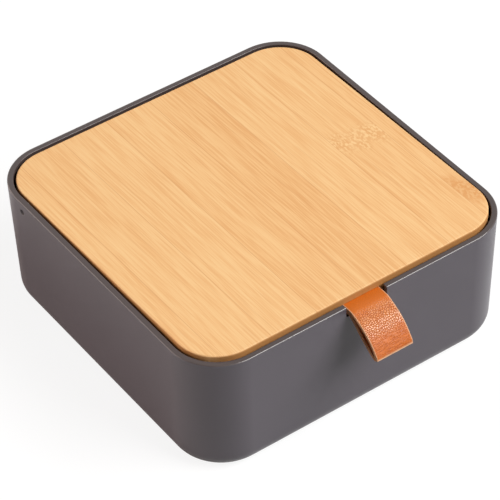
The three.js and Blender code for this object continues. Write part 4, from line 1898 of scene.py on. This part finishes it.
@dataclass
class SmallParts(SubAssembly):
    """The feet, bumpers, pins and bushes: turned pieces, each in the place of its CAD node."""

    foot_radius: float = 5.0 * MM
    foot_recess_radius: float = 3.3 * MM
    foot_recess_depth: float = 0.3 * MM
    bumper_radius: float = 2.6 * MM
    pin_chamfer: float = 0.15 * MM
    pin_hollow_radius: float = 0.82 * MM
    pin_hollow_depth: float = 2.5 * MM
    bush_inner_radius: float = 1.15 * MM
    bush_outer_radius: float = 2.65 * MM
    bush_flange_radius: float = 4.0 * MM
    bush_flange_thickness: float = 0.6 * MM
    foot_round: float = 0.4 * MM
    bumper_shoulder: float = 0.55
    bumper_top: float = 0.6
    bumper_round: float = 0.7 * MM
    bush_round: float = 0.12 * MM

    def build(self) -> None:
        """Makes them all."""
        for end in ("front", "rear"):
            for side in Side:
                self._foot(f"{end}_{side.word}")
        for side in Side:
            self._bumper(side)
            self._pin(side)
            self._bush(side)

    def _foot(self, where: str) -> None:
        """A rubber pad with a shallow ring-shaped tread.

        Args:
            where: the foot's corner.
        """
        low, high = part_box(f"case_foot_{where}")
        top = high.z - low.z
        ring, deep, soft = self.foot_recess_radius, self.foot_recess_depth, self.foot_round
        outline = [(0.0, deep), (ring, deep), (ring + soft, 0.0), (self.foot_radius, 0.0),
                   (self.foot_radius, top), (0.0, top)]
        place = Matrix.Translation(under_middle(f"case_foot_{where}"))
        piece = object_from(turned_bmesh(eased(outline, soft), 48, place), f"rubber_foot_{where}")
        dress(piece, CASE_BODY, Slot.RUBBER, self.finishes.rubber, replaces=f"case_foot_{where}")

    def _bumper(self, side: Side) -> None:
        """A domed rubber dot on its bracket.

        Args:
            side: which one.
        """
        low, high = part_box(f"lid_bumper_{side.word}")
        tall, radius = high.z - low.z, self.bumper_radius
        outline = [(0.0, 0.0), (radius, 0.0), (radius, tall * self.bumper_shoulder),
                   (radius * self.bumper_top, tall), (0.0, tall)]
        place = Matrix.Translation(under_middle(f"lid_bumper_{side.word}"))
        dome = turned_bmesh(eased(outline, self.bumper_round, 5), 36, place)
        piece = object_from(dome, f"rubber_bumper_{side.word}")
        dress(piece, CASE_BODY, Slot.RUBBER, self.finishes.rubber, replaces=f"lid_bumper_{side.word}")

    def _pin(self, side: Side) -> None:
        """A steel pin with chamfered ends, the outer one drilled hollow.

        Args:
            side: which one.
        """
        near, far = self._reach(f"hinge_pin_{side.word}")
        radius, chamfer = self.plan.pin_radius, self.pin_chamfer
        hollow, floor = self.pin_hollow_radius, far - self.pin_hollow_depth
        outline = [(0.0, near), (radius - chamfer, near), (radius, near + chamfer), (radius, far - chamfer),
                   (radius - chamfer, far), (hollow, far), (hollow, floor), (0.0, floor)]
        piece = object_from(turned_bmesh(outline, 32, self.plan.along_pins(side)), f"steel_pin_{side.word}")
        dress(piece, CASE_BODY, Slot.STEEL, self.finishes.dark_steel, replaces=f"hinge_pin_{side.word}")

    def _bush(self, side: Side) -> None:
        """A nylon sleeve with a flange that spaces the lid from the wall.

        Args:
            side: which one.
        """
        near, far = self._reach(f"pivot_bush_{side.word}")
        flange = far - self.bush_flange_thickness
        inner, outer, rim = self.bush_inner_radius, self.bush_outer_radius, self.bush_flange_radius
        outline = [(inner, near), (outer, near), (outer, flange), (rim, flange), (rim, far), (inner, far),
                   (inner, near)]
        sleeve = turned_bmesh(eased(outline, self.bush_round), 40, self.plan.along_pins(side))
        piece = object_from(sleeve, f"nylon_bush_{side.word}")
        dress(piece, LID_BODY, Slot.NYLON, self.finishes.nylon, replaces=f"pivot_bush_{side.word}")

    @staticmethod
    def _reach(node: str) -> Span:
        """How far a CAD node on the pins' axis starts and ends from the middle."""
        near, far = sorted(abs(corner.x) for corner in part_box(node))
        return near, far


@dataclass
class Dividers(SubAssembly):
    """Three bamboo boards with eased edges that lock into each other by half laps and a groove."""

    thickness: float = 4.0 * MM
    bottom_chamfer: float = 4.5 * MM
    groove_depth: float = 1.2 * MM
    edge_round: float = 0.5 * MM

    def build(self) -> None:
        """Makes the three boards."""
        across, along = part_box("divider_across"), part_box("divider_along")
        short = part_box("divider_short")
        along_x = (along[0].x + along[1].x) / 2
        across_y = (across[0].y + across[1].y) / 2
        short_y = (short[0].y + short[1].y) / 2
        self._board("across", across, along_x, (True, True), [])
        gap, deep = self.plan.fit_gap, self.groove_depth
        groove = cube_bmesh(
            (along_x + self.thickness / 2 - deep, short_y - self.thickness / 2 - gap, 0.0),
            (along_x + self.thickness, short_y + self.thickness / 2 + gap, self.plan.height),
        )
        self._board("along", along, across_y, (True, True), [groove])
        self._board("short", short, None, (False, True), [])

    def _board(self, word: str, corners: tuple[Vector, Vector], lap: float | None,
               chamfers: tuple[bool, bool], cutters: list[Solid]) -> None:
        """Makes one board.

        Args:
            word: which divider it is.
            corners: the CAD node's lowest and highest corners.
            lap: where its slot is, cut from above in a board that lies along X, or None without a slot.
            chamfers: whether the low end's and the high end's bottom corners are cut off.
            cutters: more solids to cut from it.
        """
        low, high = corners
        is_along = high.y - low.y > high.x - low.x
        start, stop = (low.y, high.y) if is_along else (low.x, high.x)
        middle, cut = (low.z + high.z) / 2, self.bottom_chamfer
        outline = [(start, low.z + cut), (start + cut, low.z)] if chamfers[0] else [(start, low.z)]
        outline += [(stop - cut, low.z), (stop, low.z + cut)] if chamfers[1] else [(stop, low.z)]
        outline += [(stop, high.z), (start, high.z)]
        if is_along:
            board = plate_from_outline(outline, low.x, high.x)
        else:
            board = plate_from_outline(outline, -high.y, -low.y)
            bmesh.ops.rotate(board, matrix=Matrix.Rotation(-math.pi / 2, 3, "Z"), verts=board.verts)
        piece = object_from(board, f"bamboo_divider_{word}")
        if lap is not None:
            gap, wide = self.plan.fit_gap, self.thickness
            half = wide / 2 + gap
            if is_along:
                slot = cube_bmesh((low.x - wide, lap - half, low.z - cut),
                                  (high.x + wide, lap + half, middle + gap))
            else:
                slot = cube_bmesh((lap - half, low.y - wide, middle), (lap + half, high.y + wide, high.z + cut))
            cutters = [slot, *cutters]
        if cutters:
            combine(piece, cutters)
        soften(piece, self.edge_round, 3)
        material = self.finishes.divider_along if is_along else self.finishes.divider_across
        dress(piece, CASE_BODY, Slot.DIVIDER, material, replaces=f"divider_{word}")


@dataclass
class FeltLining(SubAssembly):
    """The felt sheet on the case's floor, and the felt-covered board under the ring rolls."""

    corner_segments: int = 16
    board_corner: float = 6.0 * MM
    sheet_edge: float = 0.6 * MM
    board_edge: float = 0.8 * MM
    cut_round: float = 0.3 * MM

    def build(self) -> None:
        """Makes both."""
        self._sheet()
        self._ring_board()

    def _sheet(self) -> None:
        """The liner, cut out round the two stop ribs."""
        plan = self.plan
        low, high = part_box("floor_liner")
        half = (high.x - low.x) / 2
        corner = plan.corner_radius - (plan.width / 2 - half)
        bm = plan.place_case(rounded_block(half, half, low.z, high.z, corner, self.corner_segments))
        bevel(bm, level_edges(bm, high.z), self.sheet_edge, 4)
        piece = object_from(bm, "felt_floor_sheet")
        rib_low, rib_high = CaseShell(plan, self.finishes).stop_rib_reach_along_y()
        tip = plan.inner_half(plan.height) - CaseShell.stop_rib_reach - plan.fit_gap
        cutters = []
        for side in Side:
            near, far = sorted((side.value * tip, side.value * plan.width))
            cutters.append(cube_bmesh((near, rib_low - plan.fit_gap, 0.0),
                                      (far, rib_high + plan.fit_gap, plan.height)))
        combine(piece, cutters)
        soften(piece, self.cut_round)
        dress(piece, CASE_BODY, Slot.FELT, self.finishes.felt, replaces="floor_liner")

    def _ring_board(self) -> None:
        """A thin board with felt pulled round its edges."""
        low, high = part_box("ring_board")
        bm = rounded_block((high.x - low.x) / 2, (high.y - low.y) / 2, low.z, high.z, self.board_corner,
                           self.corner_segments)
        moved(bm, ((low.x + high.x) / 2, (low.y + high.y) / 2, 0.0))
        bevel(bm, level_edges(bm, low.z) + level_edges(bm, high.z), self.board_edge, 5)
        piece = object_from(bm, "felt_ring_board", FELT_SHARP_DEGREES)
        dress(piece, CASE_BODY, Slot.FELT, self.finishes.felt, replaces="ring_board")


@dataclass
class RingRolls(SubAssembly):
    """Foam rolls in velvet, side by side: one is puffed up by a cloth simulation and copied."""

    count: int = 6
    enlarged: float = 10.0
    voxel: float = 1.1 * MM
    end_round: float = 3.2 * MM
    bottom_round: float = 1.5 * MM
    start_inset: float = 0.7 * MM
    most_swell: float = 0.65 * MM
    pressure: float = 4.0
    last_frame: int = 20
    stations: int = 24
    arch_steps: int = 16
    end_share: float = 0.8

    def build(self) -> None:
        """Makes every roll."""
        low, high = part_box("ring_roll_1")
        master = self._puffed(high - low)
        for number in range(1, self.count + 1):
            mesh = master.copy()
            mesh.name = f"velvet_ring_roll_{number}"
            turn = Matrix.Rotation(math.pi * (number % 2), 4, "Z")
            mesh.transform(Matrix.Translation(under_middle(f"ring_roll_{number}")) @ turn)
            piece = new_object(mesh.name, mesh)
            dress(piece, CASE_BODY, Slot.VELVET, self.finishes.velvet, replaces=f"ring_roll_{number}")
        bpy.data.meshes.remove(master)

    def _puffed(self, size: Vector) -> bpy.types.Mesh:
        """One roll's mesh, centred on the origin with its bottom at zero.

        Args:
            size: the roll's size.

        Returns:
            The mesh.
        """
        bm = self._blank(size)
        bmesh.ops.scale(bm, vec=(self.enlarged,) * 3, verts=bm.verts)
        piece = object_from(bm, "roll_form")
        remesh = piece.modifiers.new("even_faces", "REMESH")
        remesh.mode = "VOXEL"
        remesh.voxel_size = self.voxel * self.enlarged
        apply_modifiers(piece)
        self._simulate(piece)
        smooth = piece.modifiers.new("finer", "SUBSURF")
        smooth.levels = smooth.render_levels = 1
        apply_modifiers(piece, sharp_degrees=SMOOTH_DEGREES)
        mesh = piece.data
        mesh.transform(Matrix.Scale(1.0 / self.enlarged, 4))
        bpy.data.objects.remove(piece)
        return mesh

    def _blank(self, size: Vector) -> Solid:
        """The roll before it swells: an arched section that draws in at both ends.

        Args:
            size: the roll's size.

        Returns:
            The closed form.
        """
        bm = bmesh.new()
        rings = []
        for at in range(self.stations + 1):
            along = -math.cos(math.pi * at / self.stations)
            x = along * (size.x / 2 - self.start_inset)
            past = max(abs(x) - (size.x / 2 - self.start_inset - self.end_round), 0.0)
            drawn_in = self.end_round - math.sqrt(max(self.end_round ** 2 - past ** 2, 0.0))
            inset = self.start_inset + drawn_in * self.end_share
            rings.append([bm.verts.new((x, y, z)) for y, z in self._section(size, inset)])
        for ring, following in zip(rings, rings[1:]):
            for a, b, c, d in zip(ring, ring[1:] + ring[:1], following[1:] + following[:1], following):
                bm.faces.new((a, b, c, d))
        bm.faces.new(rings[0])
        bm.faces.new(rings[-1])
        bmesh.ops.recalc_face_normals(bm, faces=bm.faces)
        return bm

    def _section(self, size: Vector, inset: float) -> list[Span]:
        """The arched section in Y and Z, drawn in by a distance all round but at the bottom.

        Args:
            size: the roll's size.
            inset: the distance.

        Returns:
            The section's points.
        """
        half = size.y / 2 - inset
        shoulder = size.z - size.y / 2
        points = [(-half, self.bottom_round), (-half + self.bottom_round, 0.0),
                  (half - self.bottom_round, 0.0), (half, self.bottom_round)]
        for step in range(self.arch_steps + 1):
            angle = math.pi * step / self.arch_steps
            points.append((half * math.cos(angle), shoulder + half * math.sin(angle)))
        return points

    def _simulate(self, piece: Piece) -> None:
        """Swells the enlarged roll under pressure with its bottom held, and caps how far points move.

        Args:
            piece: the enlarged roll.
        """
        start = [vert.co.copy() for vert in piece.data.vertices]
        held = piece.vertex_groups.new(name="held")
        held_below = self.bottom_round * self.enlarged
        held.add([v.index for v in piece.data.vertices if v.co.z < held_below], 1.0, "REPLACE")
        cloth = piece.modifiers.new("velvet_puff", "CLOTH")
        cloth.settings.use_pressure = True
        cloth.settings.uniform_pressure_force = self.pressure
        cloth.settings.effector_weights.gravity = 0.0
        cloth.settings.vertex_group_mass = held.name
        scene = bpy.context.scene
        for frame in range(1, self.last_frame + 1):
            scene.frame_set(frame)
        apply_modifiers(piece, sharp_degrees=SMOOTH_DEGREES)
        scene.frame_set(1)
        most = self.most_swell * self.enlarged
        for vert, before in zip(piece.data.vertices, start):
            swell = vert.co - before
            if swell.length > most:
                vert.co = before + swell.normalized() * most


@dataclass(frozen=True)
class Lamp:
    """A wide soft light that faces the box."""

    name: str
    direction: Triple
    level: float
    width: float
    height: float = 1.9
    distance: float = 3.5
    colour: Triple = (1.0, 1.0, 1.0)

    def build(self, target: Vector) -> None:
        """Makes the light, so strong that it alone shows a white face turned to it at about the level.

        Args:
            target: what it faces.
        """
        data = bpy.data.lights.new(self.name, "AREA")
        data.shape = "RECTANGLE"
        data.size = self.width
        data.size_y = self.height
        data.color = self.colour
        data.energy = self.level * (math.pi * self.distance) ** 2
        light = new_object(self.name, data)
        away = Vector(self.direction).normalized()
        light.location = target + away * self.distance
        light.rotation_euler = (-away).to_track_quat("-Z", "Y").to_euler()


@dataclass
class Studio:
    """The camera at the photograph's view, a white floor and surround, and two wide soft lights.

    The key light comes from the front right and above, the warm fill from low at the left rear.
    """

    plan: BoxPlan
    camera_place: Vector = field(default_factory=lambda: Vector((-540.26, -780.33, 900.27)) * MM)
    camera_forward: Vector = field(default_factory=lambda: Vector((0.41985, 0.60743, -0.67435)))
    camera_up: Vector = field(default_factory=lambda: Vector((0.40814, 0.53728, 0.73807)))
    focal_share: float = 2681.4 / 500.0
    sensor: float = 36.0
    camera_clips: Span = (0.05, 20.0)
    lamps: tuple[Lamp, ...] = (
        Lamp("key_light", (0.45, -0.56, 0.69), 1.34, 2.8),
        Lamp("fill_light", (-0.8, 0.71, 0.28), 1.0, 4.2, colour=(1.0, 0.83, 0.75)),
    )
    floor_albedo: float = 0.1
    floor_albedo_to_camera: float = 0.18
    floor_albedo_in_gloss: float = 0.9
    floor_lift: float = 0.86
    floor_half: float = 3.0
    floor_roughness: float = 0.9
    surround_level: float = 0.04

    def build(self) -> None:
        """Makes the camera, lights, floor and surround."""
        self._camera()
        self._floor()
        for lamp in self.lamps:
            lamp.build(Vector((0.0, self.plan.shift, self.plan.height / 2)))
        self._surround()
        bpy.context.scene.view_settings.view_transform = "Standard"

    def _camera(self) -> None:
        """A long lens from the front left and above."""
        data = bpy.data.cameras.new("studio_camera")
        data.sensor_width = self.sensor
        data.lens = self.focal_share * self.sensor
        data.clip_start, data.clip_end = self.camera_clips
        camera = new_object("studio_camera", data)
        back = -self.camera_forward.normalized()
        right = self.camera_forward.cross(self.camera_up).normalized()
        up = back.cross(right)
        turn = Matrix((right, up, back)).transposed().to_4x4()
        camera.matrix_world = Matrix.Translation(self.camera_place + Vector((0, self.plan.shift, 0))) @ turn
        bpy.context.scene.camera = camera

    def _floor(self) -> None:
        """A wide white floor with the box's shadow, which the camera sees paler than it falls."""
        bm = bmesh.new()
        bmesh.ops.create_grid(bm, x_segments=1, y_segments=1, size=self.floor_half)
        floor = object_from(bm, "studio_floor")
        material, graph, shader = start_material("studio_floor_white")
        camera, gloss = self._rays(graph)
        albedo = graph.between(camera, self.floor_albedo, self.floor_albedo_to_camera)
        albedo = graph.between(gloss, albedo, self.floor_albedo_in_gloss)
        graph.give(shader, Base_Color=albedo, Roughness=self.floor_roughness, Specular_IOR_Level=0.0,
                   Emission_Color=WHITE, Emission_Strength=graph.product(camera, self.floor_lift))
        floor.data.materials.append(material)

    def _surround(self) -> None:
        """White where the camera or a reflection sees it, and dim as a light."""
        world = bpy.data.worlds.new("studio_surround")
        bpy.context.scene.world = world
        world.use_nodes = True
        graph = NodeGraph(world.node_tree)
        background = world.node_tree.nodes["Background"]
        seen = graph.math("MAXIMUM", *self._rays(graph))
        graph.give(background, Color=WHITE, Strength=graph.between(seen, self.surround_level, 1.0))

    @staticmethod
    def _rays(graph: NodeGraph) -> tuple[Socket, Socket]:
        """Whether the camera sees a place itself, and whether it sees it in gloss or through glass."""
        path = graph.add("ShaderNodeLightPath").outputs
        return path["Is Camera Ray"], graph.math("MAXIMUM", path["Is Glossy Ray"], path["Is Transmission Ray"])


def main() -> None:
    """Builds every piece in order."""
    logging.basicConfig(level=logging.INFO, format="%(message)s")
    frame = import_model()
    plan = BoxPlan(hinge=Vector(frame["joints"][0]["pos_m"]))
    Studio(plan).build()
    shared = (plan, Finishes.made(plan.inside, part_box("pull_strap")[0].z, PullLoop.width / 2))
    screws = StrapScrews(*shared)
    board = LidBoard(*shared, screws)
    parts = [kind(*shared) for kind in (CaseShell, SmallParts, FeltLining, Dividers, RingRolls)]
    for part in [*parts, board, LidMirror(*shared, board), screws, PullLoop(*shared, screws)]:
        part.build()


if __name__ == "__main__":
    main()
